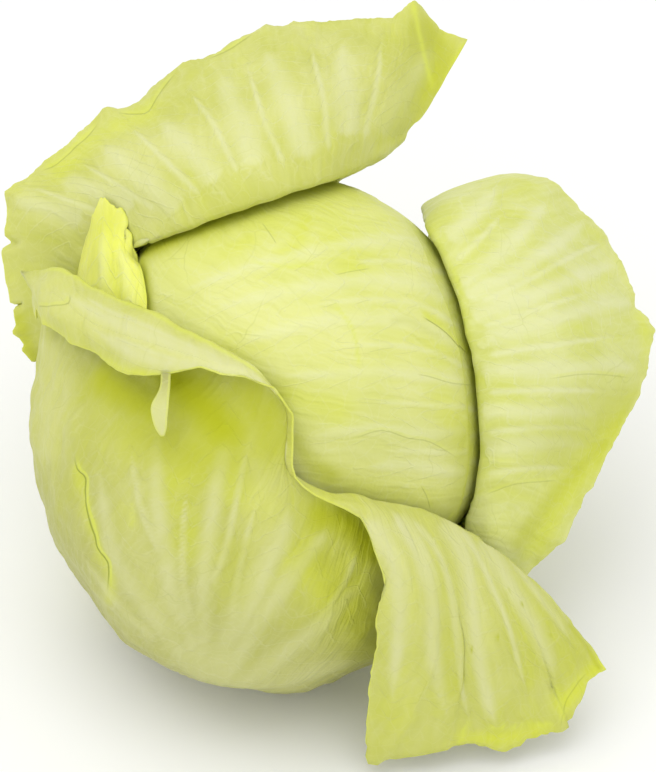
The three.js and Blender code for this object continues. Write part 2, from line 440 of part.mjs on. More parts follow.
// Front leaf: one large leaf torn at the top in two halves. The left half folds outward into a
// narrow flap; the right half folds outward and hangs down to the table.
const frontRows = [
  [0, ring([[0, 316, 21, 9], [19, 396, 21, 8]])],
  [0.06, ring([[0, 292, 38, 9], [5, 326, 38, 7], [10, 356, 38, 5.5], [15, 388, 38, 4.5], [19, 420, 38, 7]])],
  [0.13, ring([[0, 269, 55, 18], [4, 300, 55, 12], [8, 335, 55, 11.5], [10, 354, 55, 11.5], [12, 372, 55, 11],
    [14, 390, 54.5, 9], [16, 408, 53, 10], [19, 440, 56, 17]])],
  [0.21, ring([[0, 262, 79.5, 36], [2, 277, 75, 32], [4, 297, 69, 28], [8, 336, 70, 23], [12, 378, 70, 21],
    [16, 414, 70, 26], [19, 446, 79, 27]])],
  [0.3, ring([[0, 262, 93, 62], [2, 278, 90, 57], [4, 300, 85, 51], [8, 345, 83.5, 46], [12, 381, 82.5, 43],
    [16, 416, 86, 44], [19, 445, 103, 40]])],
  [0.39, ring([[0, 262, 99, 87], [2, 279, 99, 84], [4, 304, 93, 79], [8, 352, 93, 76], [10, 367, 91, 70],
    [12, 382, 90, 66], [14, 397, 90, 66], [16, 416, 96, 64], [17, 424, 106, 58], [19, 440, 126, 49]])],
  [0.47, ring([[0, 264, 106, 108], [2, 280, 104, 107], [4, 307, 96, 104], [6, 338, 95, 106], [8, 358, 93, 106],
    [9, 364, 91, 97], [10, 370, 90, 92], [12, 382.5, 90, 88], [14, 398, 91, 86], [16, 416, 99, 80],
    [17, 423, 112, 73], [18, 429, 126, 65], [19, 436, 141, 57]])],
  [0.54, ring([[0, 266, 111, 124], [1, 270, 112, 128], [2, 279, 104, 135], [3, 292.5, 92, 138], [4, 310, 85, 140],
    [5, 329, 82.5, 142], [6, 345, 83, 142], [7, 354, 84.5, 137], [8, 361.5, 86, 126], [9, 366, 87.5, 111],
    [10, 371, 87, 105], [12, 383, 87, 103], [13, 390, 86.5, 102], [14, 398, 87, 100], [15, 407, 91, 96],
    [16, 416, 100, 90], [17, 423, 112, 82], [18, 429, 129, 71], [19, 435, 145, 61]])],
  [0.6, [[0, seen(-106, 33, -5)], [1, seen(-108.5, 37.5, 3)], [2, seen(-97, 39.3, 20)], [3, seen(-80, 30.5, 40)],
    [4, seen(-60, 21.5, 59.5)], [5, seen(-40, 12.5, 74)], [6, seen(-20, 2, 82.5)], [7, seen(-11, -6, 84.5)],
    [8, seen(-2.5, -19, 83.5)], [9, seen(-3, -39, 79.5)], [10, seen(3, -46.5, 75)], [11, seen(13, -52, 71)],
    [12, seen(21, -53, 67)], [13, seen(30, -55, 62)], [14, seen(41, -56.5, 55)], [15, seen(53, -58.5, 48)],
    [16, seen(66, -65, 39)], [17, seen(80, -75, 31)], [18, seen(97, -88.5, 24)], [19, seen(113, -105, 16)]]],
  [0.66, [[0, seen(-106.5, 31.5, 0)], [1, seen(-107.5, 35, 10)], [2, seen(-97, 36.5, 28)],
    [3, seen(-80.5, 27.5, 47.5)], [4, seen(-60, 18.5, 67)], [5, seen(-40, 10.2, 80.5)], [6, seen(-20, 0.7, 87.5)],
    [7, seen(-10.5, -6.8, 86.5)], [8, seen(-1.8, -19.2, 83.5)], [9, seen(-2.3, -39.3, 79.5)],
    [10, seen(4.4, -47.7, 76.2)], [11, seen(16, -53.4, 74)], [12, seen(26, -56, 72)], [13, seen(35, -60, 68)],
    [14, seen(45, -62, 62)], [15, seen(56, -65, 55)], [16, seen(70, -71, 45)], [17, seen(84, -80, 36)],
    [18, seen(100, -92, 27.5)], [19, seen(114.5, -107, 17)]]],
  [0.77, [[0, seen(-106, 29, 5)], [1, seen(-106, 31.5, 16)], [2, seen(-98, 30, 37)], [3, seen(-81, 20, 56.5)],
    [4, seen(-60.5, 10, 76.5)], [5, seen(-39.5, 6, 87)], [6, seen(-20, -1, 91)], [7, seen(-9.8, -7.4, 87.5)],
    [8, seen(-1, -19.4, 83.2)], [9, seen(-1.6, -39.6, 79.2)], [10, seen(5.8, -48.9, 76.6)],
    [11, seen(22, -56.5, 75)], [12, seen(35, -70, 74)], [13, seen(43, -85, 70)], [14, seen(54, -90, 64)],
    [15, seen(66, -93, 57)], [16, seen(80, -97, 48)], [17, seen(94, -102, 38)], [18, seen(108, -107, 27)],
    [19, seen(119, -112, 15)]]],
  [0.89, [[0, seen(-105, 25, 9)], [1, seen(-105, 27.5, 20)], [2, seen(-99.5, 22, 41)], [3, seen(-82, 12, 60)],
    [4, seen(-60, 2.5, 79.5)], [5, seen(-39, 2.8, 89.5)], [6, seen(-20, -2.8, 92.5)], [7, seen(-9, -7.8, 87.5)],
    [8, seen(-0.4, -19.7, 82.8)], [9, seen(-0.9, -39.9, 78.8)], [10, seen(7, -50, 76.4)],
    [11, seen(26.5, -60, 75)], [12, seen(38.5, -88, 69)], [13, seen(38.5, -122, 47)], [14, seen(53, -125, 43)],
    [15, seen(70, -125, 39)], [16, seen(87, -125, 33)], [17, seen(103, -124, 27)], [18, seen(115, -121, 20)],
    [19, seen(124, -118, 12)]]],
  [1, [[0, seen(-103, 19, 12)], [1, seen(-103.5, 22, 24)], [1.5, seen(-101.5, 17.5, 33)], [2, seen(-96.5, 14, 40)],
    [2.5, seen(-89, 9, 49)], [3, seen(-81, 4.5, 57.5)], [3.5, seen(-73, 0, 66)], [4, seen(-62, -3.6, 77)],
    [4.5, seen(-52, -3, 84)], [5, seen(-39, 0, 89.5)], [5.5, seen(-30, -3, 92.5)], [6, seen(-20, -4.2, 92.5)],
    [7, seen(-8, -8.3, 87)], [8, seen(0.2, -20, 82.2)], [9, seen(-0.3, -40.2, 78.2)], [10, seen(8, -51.2, 76)],
    [10.5, seen(20, -57.5, 76)], [11, seen(29.5, -65, 74.5)], [11.5, seen(38, -87, 68)], [12, seen(34, -108, 54)],
    [12.5, seen(31, -133, 35)], [13, seen(29.5, -161, 14)], [13.5, seen(39.5, -161.5, 13)],
    [14, seen(50, -159.5, 13)], [15, seen(73, -155, 12)], [16, seen(96, -153.5, 9)], [17, seen(112, -147.5, 7)],
    [18, seen(121.5, -132, 9)], [19, seen(128.5, -124.5, 10)]]],
];
const frontSheet = leafSheet({
  rows: frontRows,
  ribs: span(0, 19, 0.5),
  steps: [1, 2, 2, 2, 2, 2, 2, 2, 2, 2, 3, 3],
  rib: ribLines(1, 0.7),
});

// The torn strip that hangs from the left flap's free edge.
const stripRows = [
  [0, [[0, seen(-57, 1.8, 80.5)], [2, seen(-51, 1.8, 84.7)]]],
  [0.2, [[0, seen(-57, -4, 81.5)], [2, seen(-50.8, -4, 85.5)]]],
  [0.5, [[0, seen(-57.6, -13, 82.5)], [2, seen(-51, -13, 85.5)]]],
  [0.8, [[0, seen(-57.4, -21.5, 82)], [2, seen(-52, -21, 84)]]],
  [1, [[0, seen(-54.6, -28, 80.5)], [2, seen(-53, -28, 81)]]],
];
const stripSheet = leafSheet({ rows: stripRows, ribs: span(0, 2, 1), steps: [1, 2, 2, 1] });
const front = toSolid(frontSheet).add(toSolid(stripSheet));
add('leaf_front', fromSolid(front), material(0xd2d884, 0.5));

export default cabbage;
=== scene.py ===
"""Green cabbage: the fine surfaces, finishes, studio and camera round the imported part.

Shapes are worked out in millimetres, in the axes of the class Plant, and go into Blender in metres.
"""
import logging
import math
from dataclasses import dataclass, field, replace
from enum import Enum
from functools import cached_property, partial

import bpy
import numpy as np
from mathutils import Matrix


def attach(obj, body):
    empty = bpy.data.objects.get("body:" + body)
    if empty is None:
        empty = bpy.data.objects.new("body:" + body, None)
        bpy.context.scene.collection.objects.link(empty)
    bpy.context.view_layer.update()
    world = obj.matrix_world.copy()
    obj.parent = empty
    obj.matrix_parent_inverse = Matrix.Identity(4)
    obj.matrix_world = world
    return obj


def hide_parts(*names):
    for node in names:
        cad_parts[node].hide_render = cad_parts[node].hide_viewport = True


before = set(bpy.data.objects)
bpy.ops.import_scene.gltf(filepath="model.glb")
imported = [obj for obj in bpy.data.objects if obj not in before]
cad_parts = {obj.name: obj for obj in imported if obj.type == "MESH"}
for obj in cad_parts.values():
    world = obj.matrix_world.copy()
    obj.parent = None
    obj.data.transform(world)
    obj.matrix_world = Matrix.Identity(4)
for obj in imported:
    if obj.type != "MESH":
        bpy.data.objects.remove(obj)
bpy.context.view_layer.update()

log = logging.getLogger("cabbage")
METRES = 0.001
# Distances that stand for no rib near, in half widths, and for no crack or rim near, in millimetres.
FAR = 4.0
NO_CRACK = 9.0
NO_RIM = 90.0
# How far a face has to turn to the viewer, as a cosine, where its patches begin and where they are full.
FACING = (0.02, 0.25)
# The steepest slope of a curve at one of its stations, in shorter secants.
STEEPEST = 1.6
Stations = tuple[tuple[float, ...], ...]
Place = tuple[float, float, float]
Pair = tuple[float, float]
Array = np.ndarray


def smooth(start: float, end: float, value: Array | float) -> Array:
    """Eased step from 0 at start to 1 at end: t = (value - start) / (end - start), t * t * (3 - 2 * t)."""
    t = np.clip((value - start) / (end - start), 0.0, 1.0)
    return t * t * (3.0 - 2.0 * t)


def unit(vectors: Array) -> Array:
    """Each vector divided by its length."""
    return vectors / np.maximum(np.linalg.norm(vectors, axis=-1, keepdims=True), 1e-9)


def slopes(stations: Array, points: Array) -> Array:
    """Slopes of the smooth curve: the two secants at a station, each weighted by the other one's span.

    Args:
        stations: rising numbers, one for each point.
        points: points along the first axis.

    Returns:
        One slope for each point, at most STEEPEST times the shorter secant, so that the curve doesn't
        swing past a point; the ends take their only secant.
    """
    spans = np.diff(stations).reshape((-1,) + (1,) * (points.ndim - 1))
    secants = np.diff(points, axis=0) / spans
    inner = (secants[:-1] * spans[1:] + secants[1:] * spans[:-1]) / (spans[:-1] + spans[1:])
    size = np.linalg.norm(secants, axis=-1, keepdims=True)
    most = STEEPEST * np.minimum(size[:-1], size[1:])
    inner = inner * np.minimum(1.0, most / np.maximum(np.linalg.norm(inner, axis=-1, keepdims=True), 1e-9))
    return np.concatenate([secants[:1], inner, secants[-1:]])


def hermite(stations: Array, points: Array, at: Array, *columns: Array) -> Array:
    """Cubic curve p0 (2s3-3s2+1) + m0 (s3-2s2+s) + p1 (3s2-2s3) + m1 (s3-s2) in each value's span.

    Args:
        stations: rising numbers, one for each point.
        points: points along the first axis.
        at: where to take the curve.
        columns: indices on the further axes, where each value has its own column of points.

    Returns:
        The curve's point at each value.
    """
    slope = slopes(stations, points)
    k = np.clip(np.searchsorted(stations, at, side="left") - 1, 0, len(stations) - 2)
    span = stations[k + 1] - stations[k]
    s = ((at - stations[k]) / span)[..., None]
    span = span[..., None]
    here = (k, *columns)
    there = (k + 1, *columns)
    return (points[here] * (2 * s**3 - 3 * s**2 + 1) + slope[here] * span * (s**3 - 2 * s**2 + s)
            + points[there] * (3 * s**2 - 2 * s**3) + slope[there] * span * (s**3 - s**2))


def grid_quads(rows: int, columns: int, round_trip: bool = False) -> Array:
    """Quads of a grid of points that are counted row by row.

    Args:
        rows: how many rows the grid has.
        columns: how many points a row has.
        round_trip: whether the last row joins the first.

    Returns:
        The corners (i, j), (i + 1, j), (i + 1, j + 1), (i, j + 1) of each cell.
    """
    starts = np.arange(rows if round_trip else rows - 1)[:, None] * columns
    first = (starts + np.arange(columns - 1)[None, :]).ravel()
    ahead = (first + columns) % (rows * columns)
    return np.stack([first, ahead, ahead + 1, first + 1], axis=-1)


def fan(pole: int, ring: Array) -> Array:
    """Triangles from a pole to each step of a closed ring."""
    return np.stack([np.full(len(ring), pole), ring, np.roll(ring, -1)], axis=-1)


@dataclass(frozen=True)
class Crumple:
    """Smooth seeded noise: random slopes on a cubic lattice, blended between its corners."""

    seed: int
    cells: int = 24
    gain: float = 1.7

    @cached_property
    def gradients(self) -> Array:
        """The lattice's random unit slopes."""
        size = (self.cells, self.cells, self.cells, 3)
        return unit(np.random.default_rng(self.seed).normal(size=size))

    def at(self, points: Array, wavelength: float) -> Array:
        """Sum over a cell's corners of slope dot offset, shared out by 6t5 - 15t4 + 10t3 on each axis.

        Args:
            points: places, with their three coordinates on the last axis.
            wavelength: size of a cell, in the same units.

        Returns:
            About -1 to 1 for each place.
        """
        where = points / wavelength
        corner = np.floor(where).astype(int)
        inside = where - corner
        ease = inside**3 * (inside * (inside * 6 - 15) + 10)
        total = np.zeros(points.shape[:-1])
        for step in np.ndindex(2, 2, 2):
            at = (corner + step) % self.cells
            slope = self.gradients[at[..., 0], at[..., 1], at[..., 2]]
            share = np.prod(np.where(np.array(step) == 1, ease, 1 - ease), axis=-1)
            total += share * (slope * (inside - step)).sum(-1)
        return total * self.gain

    def along(self, distances: Array, wavelength: float) -> Array:
        """The same noise along a straight line."""
        return self.at(distances[..., None] * np.array([1.0, 0.31, 0.17]), wavelength)


@dataclass(frozen=True)
class Plant:
    """The axes that the cabbage is laid out in, in millimetres.

    The sight axes run right, up and towards a viewer who looks down from view_lift, with their zero in the
    middle of the head. The plant axes run up the lean of the plant, towards the viewer and to the right.
    """

    head_radius: float = 77.0
    head_depth: float = 106.0
    squareness: float = 2.3
    head_height: float = 122.0
    base_depth: float = 130.0
    rest_spot: Pair = (-0.5, 7.0)
    lean: Place = (0.2506, 0.9023, 0.3509)
    swell_height: float = 12.5
    swell_towards: Place = (73.0, -58.0, 12.0)
    swell_tightness: float = 11.0
    view_lift: float = math.radians(40)
    view_distance: float = 1500.0
    pixel: float = 0.41
    head_pixel: Pair = (293.0, 367.0)

    @cached_property
    def axis(self) -> Array:
        """Unit vector up the plant."""
        return unit(np.array(self.lean))

    @cached_property
    def near(self) -> Array:
        """Unit vector across the plant, towards the viewer."""
        return unit(np.array([0.0, 0.0, 1.0]) - self.axis * self.axis[2])

    @cached_property
    def side(self) -> Array:
        """Unit vector across the plant, to the right."""
        return np.cross(self.axis, self.near)

    @property
    def viewer(self) -> Array:
        """Where the viewer's eye is."""
        return np.array([0.0, 0.0, self.view_distance])

    def seen(self, right: Array, up: Array, towards: Array) -> Array:
        """Points read off along the line of sight: (right, up) * (1 - towards / view_distance), towards."""
        scale = 1 - towards / self.view_distance
        return np.stack([right * scale, up * scale, towards], axis=-1)

    def picture(self, points: Array) -> Array:
        """Where points appear, right and up from the middle of the head: (x, y) / (1 - z / view_distance)."""
        return points[..., :2] / (1 - points[..., 2:] / self.view_distance)

    def from_pixels(self, pixels: Stations) -> Array:
        """Pixels of the photograph as millimetres right and up from the middle of the head."""
        places = np.array(pixels, float)
        return (places - self.head_pixel) * (self.pixel, -self.pixel)

    def around(self, angle: Array, radius: Array, height: Array) -> Array:
        """Points round the plant: axis * (height - base_depth) + radius * (near cos angle + side sin angle).

        Args:
            angle: degrees from the viewer's side through the right.
            radius: distance from the plant's axis.
            height: height above the plant's base.

        Returns:
            The points in the sight axes.
        """
        turn = np.radians(angle)
        out = np.cos(turn)[..., None] * self.near + np.sin(turn)[..., None] * self.side
        return (height - self.base_depth)[..., None] * self.axis + radius[..., None] * out

    def over_head(self, angle: Array, tilt: Array) -> Array:
        """Points on the head: a ball above its middle, and a squarer, deeper form below it.

        The distance from the axis is radius * sin(tilt)^p and the height radius or depth * |cos(tilt)|^p,
        where p is 1 above the middle and 2 / squareness below it.

        Args:
            angle: degrees round the plant.
            tilt: degrees from the top of the head.

        Returns:
            The points in the sight axes.
        """
        t = np.radians(tilt)
        below = tilt > 90
        power = np.where(below, 2 / self.squareness, 1.0)
        radius = self.head_radius * np.maximum(np.sin(t), 0.0) ** power
        depth = np.where(below, -self.head_depth, self.head_radius) * np.abs(np.cos(t)) ** power
        return self.around(angle, radius, depth + self.base_depth)

    def swell(self, points: Array) -> Array:
        """How far the head swells out beside the right leaf: height * exp(tightness * (cos angle - 1))."""
        cosine = unit(points) @ unit(np.array(self.swell_towards))
        return self.swell_height * np.exp(self.swell_tightness * (cosine - 1))

    def pressed(self, points: Array, offset: Array | float) -> Array:
        """Points moved straight from the middle of the head until they lie offset above it and its swell.

        The scale is (radius + offset) / length above the middle; below it, it is
        ((out / (radius + offset))^n + (down / (depth + offset))^n)^(-1/n).

        Args:
            points: points in the sight axes.
            offset: height above the head.

        Returns:
            The moved points.
        """
        offset = offset + self.swell(points)
        along = points @ self.axis
        length = np.linalg.norm(points, axis=-1)
        out = np.sqrt(np.maximum(length**2 - along**2, 1e-9))
        n = self.squareness
        down = np.maximum(-along, 0.0)
        below = (out / (self.head_radius + offset)) ** n + (down / (self.head_depth + offset)) ** n
        scale = np.where(along < 0, below ** (-1 / n), (self.head_radius + offset) / length)
        return points * scale[..., None]

    def clear_of_head(self, points: Array, offset: float) -> Array:
        """Points pushed out to at least offset above the head; those further out stay."""
        pressed = self.pressed(points, offset)
        outside = np.linalg.norm(pressed, axis=-1) > np.linalg.norm(points, axis=-1)
        return np.where(outside[..., None], pressed, points)

    def to_table(self, points: Array) -> Array:
        """From the sight axes to the table, turned by view_lift, with the rest spot at the origin."""
        s, c = math.sin(self.view_lift), math.cos(self.view_lift)
        x, y, z = points[..., 0], points[..., 1], points[..., 2]
        return np.stack([x - self.rest_spot[0], y * s - z * c - self.rest_spot[1],
                         y * c + z * s + self.head_height], axis=-1)


PLANT = Plant()


@dataclass(frozen=True)
class Row:
    """One row of a leaf's net: it crosses all the ribs at one distance from the base.

    Each station starts with its rib number. Then come angle, radius and height for around, right, up and
    towards for seen, and angle and tilt for over_head.
    """

    along: float
    around: Stations = ()
    seen: Stations = ()
    over_head: Stations = ()

    def points(self) -> tuple[Array, Array]:
        """Station numbers and points; the ones around the plant are filled in at every whole rib."""
        numbers, places = [], []
        around = np.array(self.around, float)
        if len(around) > 1:
            whole = np.arange(around[0, 0], around[-1, 0] + 0.5)
            around = np.column_stack([whole, hermite(around[:, 0], around[:, 1:], whole)])
        kinds = ((around, PLANT.around), (self.seen, PLANT.seen), (self.over_head, PLANT.over_head))
        for given, place in kinds:
            if len(given):
                number, *coordinates = np.array(given, float).T
                numbers.append(number)
                places.append(place(*coordinates))
        return np.concatenate(numbers), np.concatenate(places)


WRAPPER_ROWS = (
    Row(0, over_head=((0, 262, 140), (1, 300, 140), (2, 341, 140), (3, 380, 140), (4, 418, 138))),
    Row(0.15, over_head=((0, 258, 115), (1, 299, 115), (2, 341, 115), (3, 383, 115), (4, 424, 115))),
    Row(0.3, over_head=((0, 255, 92), (1, 298, 92), (2, 341, 92), (3, 384, 92), (4, 426, 92))),
    Row(0.45, over_head=((0, 254, 72), (1, 297, 71), (2, 340, 70), (3, 383, 71), (4, 425, 72))),
    Row(0.6, over_head=((0, 252, 58), (1, 296, 52), (2, 340, 48), (3, 384, 49), (4, 425, 53))),
    Row(0.75, over_head=((0, 248, 52), (1, 290, 36), (2, 340, 28), (3, 388, 29), (4, 427, 38))),
    Row(0.88, over_head=((0, 240, 46), (1, 270, 26), (2, 340, 10), (3, 410, 15), (4, 438, 29))),
    Row(1, over_head=((0, 232, 42), (1, 215, 28), (2, 180, 16), (3, 125, 15), (4, 96, 22))),
)

INNER_ROWS = (
    Row(0, around=((0, 268, 21, 24), (6, 314, 21, 24))),
    Row(0.1, around=((0, 262, 45, 30), (6, 312, 45, 30))),
    Row(0.22, around=((0, 260, 63, 46), (6, 312, 63, 46))),
    Row(0.34, around=((0, 259, 76, 70), (6, 310, 76, 70))),
    Row(0.46, around=((0, 260, 82, 98), (3, 284, 81.5, 100), (6, 308, 81.5, 100))),
    Row(0.58, around=((0, 261, 85, 118), (3, 284, 83, 126), (6, 306.5, 81.5, 127))),
    Row(0.7, seen=((0, -88, 10, -8), (1, -88, 20, 0), (2, -86, 27, 11), (3, -81, 28, 22), (4, -74, 27, 34),
        (5, -67, 24, 45), (6, -60.5, 21, 54))),
    Row(0.8, seen=((0, -88, 22, -12), (1, -88, 32, -6), (2, -86, 38, 3), (3, -80, 41, 16), (4, -73, 42, 27),
        (5, -67, 40, 35), (6, -61.5, 37, 42))),
    Row(0.9, seen=((0, -87, 32, -13), (1, -87, 42, -8), (2, -84, 50, 3), (3, -79, 54, 12), (4, -74, 54, 20),
        (5, -69, 51, 25), (6, -64.5, 47, 29))),
    Row(1, seen=((0, -86, 42, -12), (1, -84, 54, -6), (2, -81.5, 65, 9), (3, -77.5, 71, 17),
        (4, -72.5, 69, 20), (5, -69, 63, 21), (6, -66, 55, 24))),
)

RIGHT_ROWS = (
    Row(0, around=((0, 85, 21, 17), (10, 135, 21, 17))),
    Row(0.07, around=((0, 74, 42, 17), (5, 108, 42, 19), (10, 148, 42, 21))),
    Row(0.15, around=((0, 70, 63, 25), (5, 104, 64, 29), (10, 158, 62, 33))),
    Row(0.24, around=((0, 69, 81, 42), (5, 102, 81, 56), (10, 164, 79.5, 60))),
    Row(0.33, around=((0, 69, 91, 58), (2, 76, 88, 74), (5, 98, 85, 90), (10, 166, 84, 92))),
    Row(0.42, around=((0, 69.5, 96, 69), (1, 71, 93.5, 80), (2, 75, 90, 94), (3, 79, 87, 107),
        (5, 90, 84.5, 124), (8, 122, 83, 138), (10, 158, 84, 144))),
    Row(0.46, around=((0, 69.6, 97.5, 72), (1, 70.5, 93, 86), (2, 73, 90, 100), (3, 76.5, 87, 114)),
        seen=((4, 78.8, -29, 10), (5, 81.5, -16, 9), (6, 82.5, -1, 6), (7, 81.6, 12, 0), (8, 75.6, 29, -14),
        (9, 61.5, 42, -40), (10, 48, 43, -58))),
    Row(0.5, around=((0, 69.6, 98.5, 74),), seen=((1, 74, -68, 10), (2, 76, -55, 11), (3, 78.6, -38, 13),
        (4, 79.6, -20, 15), (5, 78.4, -3, 19), (6, 75.5, 16, 26), (7, 71, 30, 26), (8, 63.5, 50, 13),
        (9, 57, 63, -20), (10, 60, 60, -50))),
    Row(0.55, seen=((0, 74, -84, 14), (1, 71.5, -68, 18), (2, 73, -55, 21), (3, 75.5, -38, 24),
        (4, 75.8, -20, 29), (5, 74.5, -3, 33), (6, 70.8, 15, 38), (7, 67.3, 30, 36), (8, 60.6, 47, 27),
        (8.6, 55, 57.5, 16), (9, 53.5, 62, -4), (9.5, 54, 66, -25), (10, 61, 65, -45))),
    Row(0.62, seen=((0, 78, -82, 17), (1, 79, -68, 23), (2, 81, -54, 27), (3, 84, -37, 31),
        (4, 85, -18, 36), (5, 84, -1, 39), (6, 81, 19, 41), (7, 76, 36, 38), (8, 67.5, 53, 29),
        (9, 59, 66.5, 5), (9.5, 60, 70, -20), (10, 64, 68, -42))),
    Row(0.75, seen=((0, 84, -84, 12), (1, 90, -70, 16), (2, 97, -56, 18), (3, 102, -38, 21),
        (4, 107, -18, 24), (5, 111, 2, 26), (6, 110, 22, 27), (7, 103, 40, 25), (8, 93, 57, 17),
        (9, 77, 71.5, -2), (9.5, 72, 75, -22), (10, 70, 71.5, -40))),
    Row(0.88, seen=((0, 89, -87, 0), (1, 98, -74, 1), (2, 108, -60, 0), (3, 114, -42, 0), (4, 122, -22, 0),
        (5, 131, 0, 0), (6, 131, 18, -1), (7, 123, 38, -2), (8, 111, 57, -5), (9, 94, 75.5, -14),
        (9.5, 83, 77.8, -28), (10, 78, 73, -42))),
    Row(1, seen=((0, 94, -89, -12), (1, 105, -77, -14), (2, 116, -63, -17), (3, 123, -46, -20),
        (3.6, 131, -32, -22), (4.4, 144, -12, -25), (5, 147, 1, -27), (5.6, 148, 14, -29),
        (6.3, 140, 28, -30), (7, 134, 45, -30), (8, 121.5, 62, -29), (9, 105, 77, -29),
        (9.5, 94, 78.5, -35), (10, 86, 75, -46))),
)

BACK_ROWS = (
    Row(0, around=((0, 250, 21, 8), (13, 138, 21, 7))),
    Row(0.06, around=((0, 262, 42, 10), (4, 232, 42, 9), (9, 184, 42, 9), (13, 120, 42, 11))),
    Row(0.12, around=((0, 266, 56, 20), (4, 236, 58, 18), (9, 180, 57, 17), (13, 114, 57, 17))),
    Row(0.19, around=((0, 264, 68, 38), (4, 238, 79, 38), (9, 184, 79, 36), (13, 122, 80, 38))),
    Row(0.27, around=((0, 262, 83, 64), (4, 240, 90, 66), (9, 188, 89.5, 68), (13, 128, 91, 66))),
    Row(0.35, around=((0, 259, 88, 84), (4, 242, 91, 96), (9, 190, 90.5, 100), (13, 134, 92, 98))),
    Row(0.41, around=((0, 257, 90, 93), (2, 253, 92, 112), (4, 247, 90, 126), (9, 192, 89.5, 132),
        (13, 150, 90.5, 128))),
    Row(0.45, around=((0, 256.5, 91, 95), (2, 255, 92.5, 117), (4, 251, 88.5, 140), (6, 241, 85, 156),
        (9, 195, 84, 161), (13, 164, 86, 158))),
    Row(0.49, around=((0, 256, 92, 97), (2, 258, 92, 121), (4, 256, 86, 150), (6, 250, 75, 176),
        (9, 200, 69, 188), (11, 189, 69, 187), (13, 181, 73, 182))),
    Row(0.54, around=((0, 256, 92, 98),), seen=((2, -88, 31, -24), (3, -84, 44, -20), (4, -74, 51, -10),
        (5, -61, 57, 17), (6, -42, 65.5, 34), (7, -26, 73, 42), (8, -11, 79, 40), (9, 4, 84, 32),
        (10, 14, 85.5, 21), (11, 19, 84, 4), (12, 22.5, 82, -14), (13, 24.5, 80.5, -32))),
    Row(0.58, seen=((0, -92, 2, -33), (1, -91, 16, -26), (2, -88, 30, -17), (3, -84, 42, -9),
        (4, -73, 46, 3), (5, -59, 49.6, 29), (6, -44, 56.8, 44), (7, -28, 63.2, 51), (8, -12, 69, 51),
        (9, 3, 73.6, 46), (10, 14, 76.5, 37), (11, 24, 79.7, 19), (12, 34, 84.6, 0), (13, 42, 91, -20))),
    Row(0.65, seen=((0, -96, 1, -36), (1, -97, 15, -28), (2, -96, 30, -19), (3, -92, 45, -10),
        (4, -81, 53, 1), (5, -65, 57, 22), (6, -51, 65.5, 42), (7, -34, 73, 52), (8, -16, 79, 53),
        (9, 1, 84, 48), (10, 15, 87, 38), (11, 27, 89.5, 20), (12, 38, 94, -2), (13, 47, 97.5, -24))),
    Row(0.82, seen=((0, -100, 2, -38), (1, -104, 15, -34), (2, -107, 30, -28), (3, -106, 49, -19),
        (4, -97, 63, -7), (5, -80, 74, 8), (6, -64, 86, 20), (7, -44, 95, 27), (8, -23, 104, 29),
        (9, -2, 112, 24), (10, 18, 114, 12), (11, 34, 115, -6), (12, 46, 117, -24), (13, 54, 104.5, -36))),
    Row(1, seen=((0, -104, 3, -40), (1, -112, 13, -40), (2, -117, 28, -38), (3, -121.5, 50, -34),
        (4, -118, 73, -29), (4.5, -108, 79, -27), (5, -96, 89, -24), (5.5, -87, 96, -23),
        (6, -77, 107, -22), (6.5, -67, 107.5, -21), (7, -54, 118, -20), (8, -30, 130, -22),
        (9, -4, 141.5, -30), (10, 20, 143.5, -38), (11, 41, 144, -46), (12, 50, 150.5, -54),
        (13, 71, 134.5, -62))),
)

